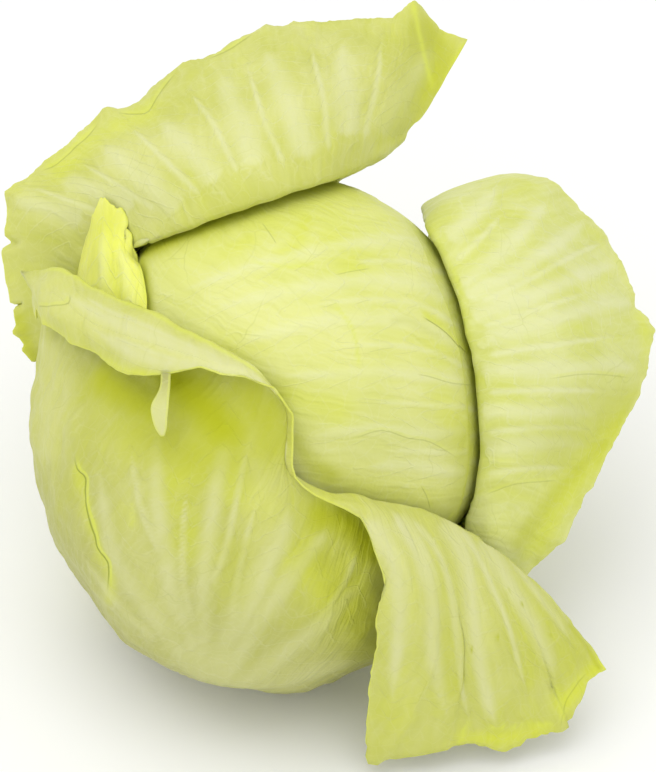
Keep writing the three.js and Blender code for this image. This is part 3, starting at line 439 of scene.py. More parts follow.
FRONT_ROWS = (
    Row(0, around=((0, 316, 21, 9), (19, 396, 21, 8))),
    Row(0.06, around=((0, 292, 38, 9), (5, 326, 38, 7), (10, 356, 38, 5.5), (15, 388, 38, 4.5),
        (19, 420, 38, 7))),
    Row(0.13, around=((0, 269, 55, 18), (4, 300, 55, 12), (8, 335, 55, 11.5), (10, 354, 55, 11.5),
        (12, 372, 55, 11), (14, 390, 54.5, 9), (16, 408, 53, 10), (19, 440, 56, 17))),
    Row(0.21, around=((0, 262, 79.5, 36), (2, 277, 75, 32), (4, 297, 69, 28), (8, 336, 70, 23),
        (12, 378, 70, 21), (16, 414, 70, 26), (19, 446, 79, 27))),
    Row(0.3, around=((0, 262, 93, 62), (2, 278, 90, 57), (4, 300, 85, 51), (8, 345, 83.5, 46),
        (12, 381, 82.5, 43), (16, 416, 86, 44), (19, 445, 103, 40))),
    Row(0.39, around=((0, 262, 99, 87), (2, 279, 99, 84), (4, 304, 93, 79), (8, 352, 93, 76),
        (10, 367, 91, 70), (12, 382, 90, 66), (14, 397, 90, 66), (16, 416, 96, 64), (17, 424, 106, 58),
        (19, 440, 126, 49))),
    Row(0.47, around=((0, 264, 102.5, 108), (2, 280, 100, 107), (4, 307, 95, 104), (6, 338, 95, 106),
        (8, 358, 93, 106), (9, 364, 91, 97), (10, 370, 90, 92), (12, 382.5, 90, 88), (14, 398, 91, 86),
        (16, 416, 99, 80), (17, 423, 112, 73), (18, 429, 126, 65), (19, 436, 141, 57))),
    Row(0.54, around=((0, 266, 105.5, 124), (1, 270, 106, 128), (2, 279, 101.5, 135), (3, 292.5, 92, 138),
        (4, 310, 85, 140), (5, 329, 82.5, 142), (6, 345, 83, 142), (7, 354, 84.5, 137), (8, 361.5, 86, 126),
        (9, 366, 87.5, 111), (10, 371, 87, 105), (12, 383, 87, 103), (13, 390, 86.5, 102),
        (14, 398, 87, 100), (15, 407, 91, 96), (16, 416, 100, 90), (17, 423, 112, 82), (18, 429, 129, 71),
        (19, 435, 145, 61))),
    Row(0.6, seen=((0, -106, 32, -5), (0.6, -108.5, 36, -1), (1, -111, 39.3, 2), (1.4, -104.5, 39, 10),
        (2, -97, 39.6, 20), (3, -80, 30.5, 40), (4, -60, 21.5, 59.5), (5, -40, 12.5, 74), (6, -20, 2, 82.5),
        (7, -11, -6, 84.5), (8, -2.5, -19, 81.5), (9, -3, -39, 77), (10, 3, -46.5, 74), (11, 13, -52, 71),
        (12, 21, -53, 67), (13, 30, -55, 62), (14, 41, -56.5, 55), (15, 53, -58.5, 48), (16, 66, -65, 39),
        (17, 80, -75, 31), (18, 97, -88.5, 24), (19, 113, -105, 16))),
    Row(0.66, seen=((0, -106.5, 31, 0), (0.6, -108, 34, 5), (1, -109.6, 37, 8), (1.4, -103.5, 36.4, 17),
        (2, -97, 36.5, 28), (3, -80.5, 27.5, 47.5), (4, -60, 18.5, 67), (5, -40, 10.2, 80.5),
        (6, -20, 0.7, 87.5), (7, -10.4, -6.6, 86.2), (8, -1.8, -19.25, 82.6), (9, -2.3, -39.4, 78),
        (10, 3.4, -47.2, 75), (11, 16, -53.4, 74), (12, 26, -56, 72), (13, 35, -60, 68), (14, 45, -62, 62),
        (15, 56, -65, 55), (16, 70, -71, 45), (17, 84, -80, 36), (18, 100, -92, 27.5),
        (19, 114.5, -107, 17))),
    Row(0.77, seen=((0, -106, 29, 5), (1, -106, 31.5, 16), (2, -98, 30, 37), (3, -81, 20, 56.5),
        (4, -60.5, 10, 76.5), (5, -39.5, 6, 87), (6, -20, -1, 91), (7, -9.8, -7.2, 87.6),
        (8, -1.1, -19.5, 83.6), (9, -1.6, -39.8, 79), (10, 3.8, -47.9, 76), (11, 15.7, -53.9, 75),
        (11.5, 21.4, -55.9, 75.2), (12, 28, -59.5, 74.6), (12.5, 35.5, -68, 72.8), (13, 44, -78.5, 70.3),
        (13.5, 51, -86.5, 65.8), (14, 58, -90.5, 62), (15, 67, -93, 56.5), (16, 80, -97, 48),
        (17, 94, -102, 38), (18, 108, -107, 27), (19, 119, -112, 15))),
    Row(0.89, seen=((0, -105, 25, 9), (1, -105, 27.5, 20), (2, -99.5, 22, 41), (3, -82, 12, 60),
        (4, -60, 2.5, 79.5), (5, -39, 2.8, 89.5), (6, -20, -2.8, 92.5), (7, -9, -7.8, 88.8),
        (8, -0.4, -19.75, 84.6), (9, -0.9, -40.2, 80), (10, 4.1, -48.6, 76.6), (11, 15.2, -54.5, 75.6),
        (11.5, 21.6, -57.2, 75.6), (12, 29.8, -63.2, 74.3), (12.5, 38.7, -77, 71.2), (13, 46, -95, 63.2),
        (13.5, 49, -120, 47.5), (14, 58, -127, 41.7), (15, 71, -125.5, 38.5), (16, 87, -125, 33),
        (17, 103, -124, 27), (18, 115, -121, 20), (19, 124, -118, 12))),
    Row(1, seen=((0, -103, 19, 12), (1, -103.5, 22, 24), (1.5, -101.5, 17.5, 33), (2, -96.5, 14, 40),
        (2.5, -89, 9, 49), (3, -81, 4.5, 57.5), (3.5, -73, 0, 66), (4, -62, -3.6, 77), (4.5, -52, -3, 84),
        (5, -39, 0, 89.5), (5.5, -30, -3, 92.5), (6, -20, -4.2, 92.5), (7, -8, -8.3, 90),
        (8, 0.2, -20, 85.5), (9, -0.3, -40.6, 81), (9.5, 1.2, -45.6, 79.3), (10, 4.4, -49.3, 77.2),
        (10.5, 9, -52.6, 76.4), (11, 14.5, -55.2, 76.2), (11.5, 21.5, -58.3, 75.8), (12, 30.5, -66.8, 73.8),
        (12.5, 37, -87, 68), (13, 34, -116, 48.5), (13.5, 30, -150, 21), (13.75, 30, -161.5, 13.5),
        (14, 41, -161.5, 13), (14.3, 50, -159.5, 13), (15, 73, -155, 12), (16, 96, -153.5, 9),
        (17, 112, -147.5, 7), (18, 121.5, -132, 9), (19, 128.5, -124.5, 10))),
)

STRIP_ROWS = (
    Row(0, seen=((0, -53.9, -1.4, 83.6), (2, -50.4, -1.4, 85.4))),
    Row(0.3, seen=((0, -54.7, -9.4, 84.2), (2, -50.7, -9.4, 86))),
    Row(0.5, seen=((0, -57.8, -15.6, 83.4), (2, -51.2, -15.6, 86))),
    Row(0.7, seen=((0, -57.6, -20.5, 83), (2, -51.7, -20.5, 85.4))),
    Row(0.87, seen=((0, -56.2, -25, 82.6), (2, -52, -25, 84))),
    Row(1, seen=((0, -54.2, -28.3, 82), (2, -53, -28.3, 82.4))),
)


class Mark(Enum):
    """What a stroke on a leaf stands for."""

    RIB = "rib"
    CRACK = "crack"
    # Painted highlight: a bright line along a crest of the sheet.
    FOLD = "fold"
    # Painted shade: a darker, saturated olive under flaps and folds, in crevices and on faces turned from the
    # light.
    DEEP = "shade_and_threads"
    # A paler tint; in places it is painted light that lifts shade.
    PALE = "pale"
    # A yellower tint; in places it is painted shade, and painted light where light shines through a leaf.
    YELLOW = "yellow"


# The tints: the painted shade, and the pale and yellow tints.
TINTS = (Mark.DEEP, Mark.PALE, Mark.YELLOW)
# How far a drawn rib sinks away at its ends, in half widths, and the part of a line that fades at an end.
RIB_END = 2.2
END_TAPER = 0.15


@dataclass(frozen=True)
class Stroke:
    """A line or dab on a leaf, read off the photograph in pixels, with its half width in millimetres."""

    mark: Mark
    pixels: Stations
    width: float = 1.6
    end_width: float | None = None
    amount: float = 1.0

    def path(self) -> tuple[Array, Array]:
        """Places along the smooth line, with its half width at each."""
        given = PLANT.from_pixels(self.pixels)
        stations = np.arange(len(given), dtype=float)
        fine = np.linspace(0, len(given) - 1, max(3 * (len(given) - 1) + 1, 2))
        places = hermite(stations, given, fine) if len(given) > 1 else np.repeat(given, 2, axis=0)
        end = self.width if self.end_width is None else self.end_width
        return places, np.linspace(self.width, end, len(places))

    def reach(self, spots: Array) -> tuple[Array, Array, Array]:
        """Distance from the nearest place on the line, over all its straight pieces.

        Args:
            spots: places in the picture, in millimetres.

        Returns:
            The distance in half widths, the same in millimetres with a sign for its side, and how far
            along the line it is, from 0 to 1.
        """
        places, widths = self.path()
        away = np.full(spots.shape[:-1], np.inf)
        sided = np.full(spots.shape[:-1], NO_CRACK)
        run = np.zeros(spots.shape[:-1])
        last = len(places) - 1
        for k in range(last):
            step = places[k + 1] - places[k]
            offset = spots - places[k]
            t = np.clip(offset @ step / max(step @ step, 1e-9), 0.0, 1.0)
            gap = offset - t[..., None] * step
            distance = np.hypot(gap[..., 0], gap[..., 1])
            here = distance / (widths[k] + (widths[k + 1] - widths[k]) * t)
            closer = here < away
            away = np.where(closer, here, away)
            turn = np.sign(step[0] * offset[..., 1] - step[1] * offset[..., 0])
            sided = np.where(closer, turn * distance, sided)
            run = np.where(closer, (k + t) / last, run)
        return away, sided, run


@dataclass(frozen=True)
class Patch:
    """A part of a leaf that the photograph shows, on its outer (1) or inner (-1) face, and its strokes."""

    face: int
    groups: tuple[tuple[Stroke, ...], ...]
    along: Pair = (0.0, 1.0)
    across: Pair = (-1.0, 99.0)
    edges: Pair = (0.02, 0.3)
    has_ribs: bool = True

    @property
    def strokes(self) -> tuple[Stroke, ...]:
        """The strokes of all groups, in their order."""
        return sum(self.groups, ())

    def share(self, u: Array, v: Array, facing: Array) -> Array:
        """How much each place belongs to the patch: inside its bounds and turned to the viewer."""
        edge_v, edge_u = self.edges
        inside = smooth(self.along[0] - edge_v, self.along[0] + edge_v, v)
        inside = inside * smooth(self.along[1] + edge_v, self.along[1] - edge_v, v)
        inside = inside * smooth(self.across[0] - edge_u, self.across[0] + edge_u, u)
        inside = inside * smooth(self.across[1] + edge_u, self.across[1] - edge_u, u)
        return inside * smooth(*FACING, facing * self.face)


def marked(spots: Array, rib: Array, shown: list[tuple[Patch, Array, Array | float]],
           folds_fade: bool = True) -> dict:
    """All that patches mark at a surface's points: ribs, cracks, painted highlights and shade, and tints.

    Args:
        spots: where the points appear in the picture, in millimetres.
        rib: distance to the nearest rib that the patches don't hold, in half widths.
        shown: the patches, each with how far a point belongs to it, and how far for its ribs.
        folds_fade: whether the painted highlights fade at their ends, as cracks do.

    Returns:
        rib: distance to the nearest rib in half widths. crack: millimetres to the nearest crack, with its
            side, and crack_on and crack_face how much of it is there and on which face. fold:
            strength of the painted highlight along crests. For each tint and face, such as the painted shade
            on the outer and on the inner face, its strength.
    """
    marks = {name: np.zeros(rib.shape) for name in ("crack_on", "crack_face", "fold")}
    marks |= {f"{tint.value}{face}": np.zeros(rib.shape) for tint in TINTS for face in (1, -1)}
    marks |= {"crack": np.full(rib.shape, NO_CRACK), "rib": rib}
    for patch, share, rib_share in shown:
        ribs = np.full(rib.shape, FAR)
        for stroke in patch.strokes:
            away, sided, run = stroke.reach(spots)
            taper = smooth(0.0, END_TAPER, run) * smooth(1.0, 1 - END_TAPER, run)
            glow = np.exp(-away**2) * stroke.amount
            if stroke.mark is Mark.RIB:
                ends = smooth(0.1, -0.02, run) + smooth(0.75, 1.05, run)
                ribs = np.minimum(ribs, away + RIB_END * ends)
            elif stroke.mark is Mark.CRACK:
                near = (np.abs(sided) < np.abs(marks["crack"])) & (share > 0.3)
                marks["crack"] = np.where(near, sided, marks["crack"])
                marks["crack_on"] = np.where(near, taper * stroke.amount, marks["crack_on"])
                marks["crack_face"] = np.where(near, patch.face, marks["crack_face"])
            # A painted highlight along a crest.
            elif stroke.mark is Mark.FOLD:
                bright = glow * taper if folds_fade else glow
                marks["fold"] = np.maximum(marks["fold"], bright * share)
            else:
                # Tints: the painted shade from darker strokes, and pale and yellow strokes, in places painted
                # light and shade.
                name = f"{stroke.mark.value}{patch.face}"
                marks[name] = np.maximum(marks[name], glow * share)
        marks["rib"] = ribs * rib_share + marks["rib"] * (1 - rib_share)
    return marks


@dataclass(frozen=True)
class VeinTree:
    """The ribs of a leaf across its net: a middle rib, and branches that leave it and run to the margin."""

    middle: float
    reach: float
    branches: Stations
    last: float = 0.97
    base_width: float = 6.0
    branch_width: float = 2.6
    tip_width: float = 1.2

    def paths(self) -> Array:
        """Samples (u, v, half width): a branch goes to its end as 1 - (1 - t)^2 across, and evenly along."""
        t = np.linspace(0.0, 1.0, 260)
        lines = [np.stack([np.full_like(t, self.middle), t * self.reach,
                           self.base_width + (self.tip_width - self.base_width) * t**0.6], axis=-1)]
        for start, end in self.branches:
            across = self.middle + (end - self.middle) * (1 - (1 - t) ** 2)
            along = start + (self.last - start) * t
            width = self.branch_width + (self.tip_width - self.branch_width) * t
            lines.append(np.stack([across, along, width], axis=-1))
        return np.concatenate(lines)


@dataclass
class Mesh:
    """Points in metres, faces and named numbers at the points, ready to go into Blender."""

    points: Array
    quads: Array
    marks: dict[str, Array]
    triangles: Array = field(default_factory=lambda: np.zeros((0, 3), int))

    def joined(self, other: "Mesh") -> "Mesh":
        """This mesh and another as one."""
        shift = len(self.points)
        return Mesh(np.concatenate([self.points, other.points]),
                    np.concatenate([self.quads, other.quads + shift]),
                    {name: np.concatenate([own, other.marks[name]]) for name, own in self.marks.items()},
                    np.concatenate([self.triangles, other.triangles + shift]))

    def piece(self, name: str, material: bpy.types.Material, node: str, slot: str) -> bpy.types.Object:
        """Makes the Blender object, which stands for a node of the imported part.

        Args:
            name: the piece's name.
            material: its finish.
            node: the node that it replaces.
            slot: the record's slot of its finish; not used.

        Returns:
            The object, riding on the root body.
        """
        data = bpy.data.meshes.new(name)
        corners = np.concatenate([self.quads.ravel(), self.triangles.ravel()]).astype(np.int32)
        sizes = np.repeat([4, 3], [len(self.quads), len(self.triangles)])
        starts = np.concatenate([[0], np.cumsum(sizes)[:-1]]).astype(np.int32)
        data.vertices.add(len(self.points))
        data.vertices.foreach_set("co", self.points.astype(np.float32).ravel())
        data.loops.add(len(corners))
        data.loops.foreach_set("vertex_index", corners)
        data.polygons.add(len(sizes))
        data.polygons.foreach_set("loop_start", starts)
        data.polygons.foreach_set("use_smooth", np.ones(len(sizes), bool))
        for mark, values in self.marks.items():
            layer = data.attributes.new(mark, "FLOAT", "POINT")
            layer.data.foreach_set("value", values.astype(np.float32))
        data.update(calc_edges=True)
        data.validate()
        data.materials.append(material)
        piece = bpy.data.objects.new(name, data)
        bpy.context.scene.collection.objects.link(piece)
        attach(piece, "root")
        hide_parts(node)
        log.info("%s: %d triangles", name, 2 * len(self.quads) + len(self.triangles))
        return piece


class Hug(Enum):
    """How a leaf lies to the head."""

    FREE = "free"
    CLEAR = "clear"
    PRESSED = "pressed"


@dataclass(frozen=True)
class Relief:
    """What the relief of all leaves shares: wavelengths, widths and depths in millimetres, and shares."""

    billow_size: float = 38.0
    pucker_size: float = 13.0
    pucker_on_rib: float = 0.7
    fine_size: float = 6.0
    fine_share: float = 0.4
    frill_size: float = 10.0
    frill_width: float = 16.0
    furrow_size: float = 15.0
    furrow_stretch: float = 4.5
    furrow_middle: float = 0.45
    furrow_round: float = 0.01
    wander: float = 5.0
    wander_size: float = 30.0
    valley_width: float = 2.2
    crack_depth: float = 0.35
    crack_width: float = 2.4
    rim_sink: float = 0.95
    sink_width: float = 14.0
    press_width: float = 10.0
    edge_width: float = 18.0
    rib_fade: float = 12.0
    base_ribs: float = 4.0
    inner_ribs: float = 0.25
    calm_from: float = 0.54
    calm_along: Pair = (0.45, 0.56)
    calm_room: Pair = (45.0, 12.0)


RELIEF = Relief()


@dataclass
class Leaf:
    """A leaf: a sheet of varying thickness through a net of points, with ribs, creases and a frayed rim."""

    name: str
    node: str
    rows: tuple[Row, ...]
    last_rib: float
    cells: tuple[int, int]
    seed: int
    tree: VeinTree | None = None
    patches: tuple[Patch, ...] = ()
    margin: Stations = ()
    margin_from: float = 0.86
    fray: float = 0.012
    outward: int = 1
    thickness: float = 1.5
    edge_thickness: float = 0.75
    rim_bulge: float = 0.8
    floor: float = 0.0
    hug: Hug = Hug.FREE
    clearance: float = 3.4
    billow: float = 1.0
    pucker: float = 0.35
    frill: float = 0.8
    furrow: float = 0.7
    veins_across: bool = False
    rib_height: float = 0.4
    weights: Stations = ((0.0, 0.45), (0.3, 0.8), (0.5, 1.2), (1.0, 1.4))

    def net(self, across: Array) -> Array:
        """The net's rows at each rib number: points[row, rib]."""
        return np.stack([hermite(*row.points(), across) for row in self.rows])

    @property
    def stations(self) -> Array:
        """Distances of the rows from the base, 0 to 1."""
        return np.array([row.along for row in self.rows])

    def sampled(self) -> tuple[Array, Array]:
        """Rib numbers and distances along, spaced so that the cells of the mesh are about even.

        Returns:
            Values across and along: each axis is cut at equal steps of the sheet's own mean length on
            it, which the weights stretch where the mesh should be finer.
        """
        count = 240
        u = np.linspace(0, self.last_rib, count)
        v = np.linspace(0, 1, count)
        sheet = hermite(self.stations, self.net(u), np.tile(v, (count, 1)), np.arange(count)[:, None])
        across = self.steps_across(sheet)
        along = np.linalg.norm(np.diff(sheet, axis=1), axis=-1).mean(axis=0)
        weights = np.array(self.weights)
        along = along * np.interp((v[1:] + v[:-1]) / 2, weights[:, 0], weights[:, 1])
        cut = []
        for values, steps, samples in ((u, across, self.cells[0]), (v, along, self.cells[1])):
            total = np.concatenate([[0.0], np.cumsum(steps)])
            cut.append(np.interp(np.linspace(0, total[-1], samples), total, values))
        return cut[0], cut[1]

    def steps_across(self, sheet: Array) -> Array:
        """Mean length of each step across the sheet, over all but the third of it nearest to the base."""
        return np.linalg.norm(np.diff(sheet, axis=0), axis=-1)[:, sheet.shape[1] // 3:].mean(axis=1)

    def notch(self, edge: Array) -> Array:
        """How far the margin is cut back: fray * (0.65 |noise(9 mm)| + 0.35 |noise(3.5 mm)|) along it."""
        noise = Crumple(self.seed + 7)
        lobes = 0.65 * np.abs(noise.along(edge, 9.0)) + 0.35 * np.abs(noise.along(edge + 50, 3.5))
        return self.fray * lobes

    def middle(self, u: Array, v: Array) -> Array:
        """The middle surface before its relief: the net, cut back by notch() and moved to the margin line.

        Args:
            u: rib numbers.
            v: distances along, 0 to 1.

        Returns:
            Points on the grid of u and v.
        """
        net = self.net(u)
        edge = np.concatenate([[0.0], np.cumsum(np.linalg.norm(np.diff(net[-1], axis=0), axis=-1))])
        cut = self.notch(edge)[:, None] * smooth(0.8, 1.0, v)[None, :]
        points = hermite(self.stations, net, v[None, :] - cut, np.arange(len(u))[:, None])
        if self.margin:
            number, right, up = np.array(self.margin, float).T
            drawn = np.stack([np.interp(u, number, right), np.interp(u, number, up)], axis=-1)
            inside = (u >= number[0] - 1e-6) & (u <= number[-1] + 1e-6)
            move = np.where(inside[:, None], drawn - PLANT.picture(net[-1]), 0.0)
            ease = smooth(self.margin_from, 1.0, v)[None, :, None]
            scale = 1 - points[..., 2:] / PLANT.view_distance
            points[..., :2] += move[:, None, :] * ease * scale
        return self.laid(points, 0.0)

    def laid(self, points: Array, extra: Array | float) -> Array:
        """Points kept off the head, or pressed on it with an extra height, as the leaf's hug says."""
        if self.hug is Hug.PRESSED:
            return PLANT.pressed(points, self.clearance + extra)
        if self.hug is Hug.CLEAR:
            return PLANT.clear_of_head(points, self.clearance)
        return points

    def normals(self, points: Array) -> Array:
        """Unit normals towards the outer face: the cross product of the steps across and along."""
        across = np.gradient(points, axis=0)
        along = np.gradient(points, axis=1)
        return unit(np.cross(across, along)) * self.outward

    def vein_reach(self, points: Array, u: Array, v: Array) -> Array:
        """Distance to the nearest rib of the tree, in half widths of that rib.

        Each sample of a rib spreads over a window of the grid, and each place keeps the least value.

        Args:
            points: the middle surface.
            u: rib numbers.
            v: distances along.

        Returns:
            The distance, at most FAR.
        """
        reach = np.full(points.shape[:2], FAR)
        if self.tree is None:
            return reach
        samples = self.tree.paths()
        i = np.interp(samples[:, 0], u, np.arange(len(u)))
        j = np.interp(samples[:, 1], v, np.arange(len(v)))
        low_i = np.minimum(i.astype(int), len(u) - 2)
        low_j = np.minimum(j.astype(int), len(v) - 2)
        si, sj = (i - low_i)[:, None], (j - low_j)[:, None]
        places = ((points[low_i, low_j] * (1 - sj) + points[low_i, low_j + 1] * sj) * (1 - si)
                  + (points[low_i + 1, low_j] * (1 - sj) + points[low_i + 1, low_j + 1] * sj) * si)
        window = 11
        di, dj = (grid.ravel() for grid in np.mgrid[-window:window + 1, -window:window + 1])
        near_i = np.clip(np.rint(i).astype(int)[:, None] + di, 0, len(u) - 1)
        near_j = np.clip(np.rint(j).astype(int)[:, None] + dj, 0, len(v) - 1)
        gap = np.linalg.norm(points[near_i, near_j] - places[:, None, :], axis=-1) / samples[:, 2:]
        np.minimum.at(reach, (near_i, near_j), gap)
        return reach

    def drawn(self, points: Array, normals: Array, u: Array, v: Array) -> dict:
        """All that is marked on the leaf, as marked() gives it, worked out on the grid.

        Args:
            points: the middle surface.
            normals: its normals to the outer face.
            u: rib numbers.
            v: distances along.

        Returns:
            The marks by name.
        """
        facing = (normals * unit(PLANT.viewer - points)).sum(-1)
        shown = []
        for patch in self.patches:
            share = patch.share(u[:, None], v[None, :], facing)
            shown.append((patch, share, share * patch.has_ribs))
        return marked(PLANT.picture(points), self.vein_reach(points, u, v), shown)

    def relief(self, points: Array, marks: dict, v: Array) -> Array:
        """How far the middle surface moves along its normal.

        It is billow * noise(38 mm), plus pucker * noise(13 mm), less on ribs, and 0.4 noise(6 mm) between
        them, plus furrow * (0.45 - sqrt(noise(15 mm)^2 + 0.01)), drawn out along the ribs and left out
        where the sheet is gathered, plus frill * noise(10 mm) at the rim. All this is less at the base.
        Ribs stand rib_height above the rest. The relief fades on the outer half of a leaf where less than
        calm_room is left to the margin. Cracks are cut in last.

        Args:
            points: the middle surface.
            marks: what drawn() gave, with rim, across and run.
            v: distances along, 0 to 1.

        Returns:
            Millimetres for each point.
        """
        noise, shape = Crumple(self.seed), RELIEF
        rim, across, length = marks["rim"], marks["across"], marks["run"]
        ridge = np.exp(-marks["rib"] ** 2)
        valley = np.exp(-(marks["rib"] / shape.valley_width) ** 2)
        pucker = noise.at(points, shape.pucker_size) * (1 - shape.pucker_on_rib * valley)
        fine = shape.fine_share * noise.at(points + 31.0, shape.fine_size) * (1 - ridge)
        relief = self.billow * noise.at(points, shape.billow_size) + self.pucker * (pucker + fine)
        wander = shape.wander * noise.at(points, shape.wander_size)
        drawn_out = np.stack([across + wander, length / shape.furrow_stretch, 0 * length], axis=-1)
        spread = np.linalg.norm(np.gradient(points, axis=0), axis=-1) / np.gradient(across, axis=0)
        furrows = np.sqrt(noise.at(drawn_out + 9.0, shape.furrow_size) ** 2 + shape.furrow_round)
        relief = relief + self.furrow * smooth(0.3, 0.9, spread) * (shape.furrow_middle - furrows)
        frill = noise.at(points + 77.0, shape.frill_size) * smooth(shape.frill_width, 0.0, rim)
        relief = (relief + self.frill * frill) * smooth(0.0, 0.12, v)[None, :]
        relief = relief + self.rib_height * (valley - 0.5)
        room = length[:, -1:] - length[:, [int(np.searchsorted(v, shape.calm_from))]]
        relief = relief * (1 - smooth(*shape.calm_along, v)[None, :] * smooth(*shape.calm_room, room))
        crack = np.exp(-(marks["crack"] / shape.crack_width) ** 2)
        return relief - shape.crack_depth * crack * marks["crack_on"] * marks["crack_face"]

    def mesh(self) -> Mesh:
        """The leaf as a closed mesh: both faces of the sheet, and a rounded rim that joins them.

        The middle surface moves out by relief(); on a pressed leaf this is the height above the head, and
        its rim sinks. Each face lies half the thickness from it, less at the rim. Ribs stand out from
        both faces, most at the base of the outer one.

        Returns:
            The mesh, with the marks that the finish reads.
        """
        u, v = self.sampled()
        points = self.middle(u, v)
        normals = self.normals(points)
        marks = self.drawn(points, normals, u, v)
        marks["rim"] = rim = self.rim_distance(points)
        marks["base"] = np.tile(1 - smooth(0.08, 0.6, v), (len(u), 1))
        steps = np.concatenate([[0.0], np.cumsum(self.steps_across(points))])
        marks["across"] = np.tile(steps[:, None], (1, len(v)))
        marks["run"] = np.linalg.norm(np.diff(points, axis=1, prepend=points[:, :1]), axis=-1).cumsum(axis=1)
        relief = self.relief(points, marks, v)
        if self.hug is Hug.PRESSED:
            sink = RELIEF.rim_sink * (smooth(0.0, RELIEF.sink_width, rim) - 1)
            points = self.laid(points, relief * smooth(0.0, RELIEF.press_width, rim) + sink)
        else:
            points = self.laid(points + normals * relief[..., None], 0.0)
        normals = self.normals(points)
        inward = smooth(0.0, RELIEF.edge_width, rim)
        half = (self.edge_thickness + (self.thickness - self.edge_thickness) * inward) / 2
        ribs = self.rib_height * np.exp(-marks["rib"] ** 2) * smooth(0.0, RELIEF.rib_fade, rim)
        base = 1 + RELIEF.base_ribs * (1 - smooth(0.0, 0.3, v))[None, :]
        outer = points + normals * (half + base * ribs)[..., None]
        inner = points - normals * (half + RELIEF.inner_ribs * ribs)[..., None]
        if self.veins_across:
            marks["across"], marks["run"] = marks["run"], marks["across"]
        return self.closed(outer, inner, points, normals, half, marks)

    def rim_distance(self, points: Array) -> Array:
        """Millimetres along the sheet to its nearest free edge: the margin or either side."""
        along = np.linalg.norm(np.diff(points, axis=1), axis=-1)
        to_margin = np.cumsum(along[:, ::-1], axis=1)[:, ::-1]
        to_margin = np.concatenate([to_margin, np.zeros((len(points), 1))], axis=1)
        across = np.linalg.norm(np.diff(points, axis=0), axis=-1)
        zero = np.zeros((1, points.shape[1]))
        left = np.concatenate([zero, np.cumsum(across, axis=0)])
        right = np.concatenate([np.cumsum(across[::-1], axis=0)[::-1], zero])
        return np.minimum(to_margin, np.minimum(left, right))

    def closed(self, outer: Array, inner: Array, points: Array, normals: Array,
               half: Array, marks: dict) -> Mesh:
        """Joins both faces with a rounded rim that stands out by rim_bulge of half the thickness.

        Args:
            outer: the outer face.
            inner: the inner face.
            points: the middle surface.
            normals: its normals to the outer face.
            half: half the thickness.
            marks: what drawn() gave, with rim, base, across and run.

        Returns:
            The closed mesh.
        """
        nu, nv = points.shape[:2]
        last_u, last_v = nu - 1, nv - 1
        i = np.concatenate([np.arange(last_u), np.full(last_v, last_u), np.arange(last_u, 0, -1),
                            np.zeros(last_v, int)])
        j = np.concatenate([np.zeros(last_u, int), np.arange(last_v), np.full(last_u, last_v),
                            np.arange(last_v, 0, -1)])
        edge = points[i, j]
        run = np.roll(edge, -1, axis=0) - np.roll(edge, 1, axis=0)
        out = unit(np.cross(run, normals[i, j])) * self.outward
        bulge = edge + out * (self.rim_bulge * half[i, j])[:, None]
        faces = PLANT.to_table(np.concatenate([outer.reshape(-1, 3), inner.reshape(-1, 3), bulge]))
        size = nu * nv
        lowest = np.full(len(faces), self.floor)
        lowest[size:2 * size] += 2 * half.ravel()
        lowest[2 * size:] += half[i, j]
        faces[:, 2] = np.maximum(faces[:, 2], lowest)
        sheet = grid_quads(nu, nv)
        front = i * nv + j
        ahead = np.roll(front, -1)
        ring = 2 * size + np.arange(len(i))
        ring_ahead = np.roll(ring, -1)
        quads = np.concatenate([sheet, sheet[:, ::-1] + size,
                                np.stack([front + size, ahead + size, ring_ahead, ring], axis=-1),
                                np.stack([ring, ring_ahead, ahead, front], axis=-1)])
        if self.outward < 0:
            quads = quads[:, ::-1]
        named = {}
        for name in ("rib", "rim", "run", "across", "base", "crack", "crack_on", "fold"):
            values = marks[name]
            named[name] = np.concatenate([values.ravel(), values.ravel(), values[i, j]])
        for tint in TINTS:
            far, close = marks[f"{tint.value}1"], marks[f"{tint.value}-1"]
            named[tint.value] = np.concatenate([far.ravel(), close.ravel(), (far + close)[i, j] / 2])
        return Mesh(faces * METRES, quads, named)


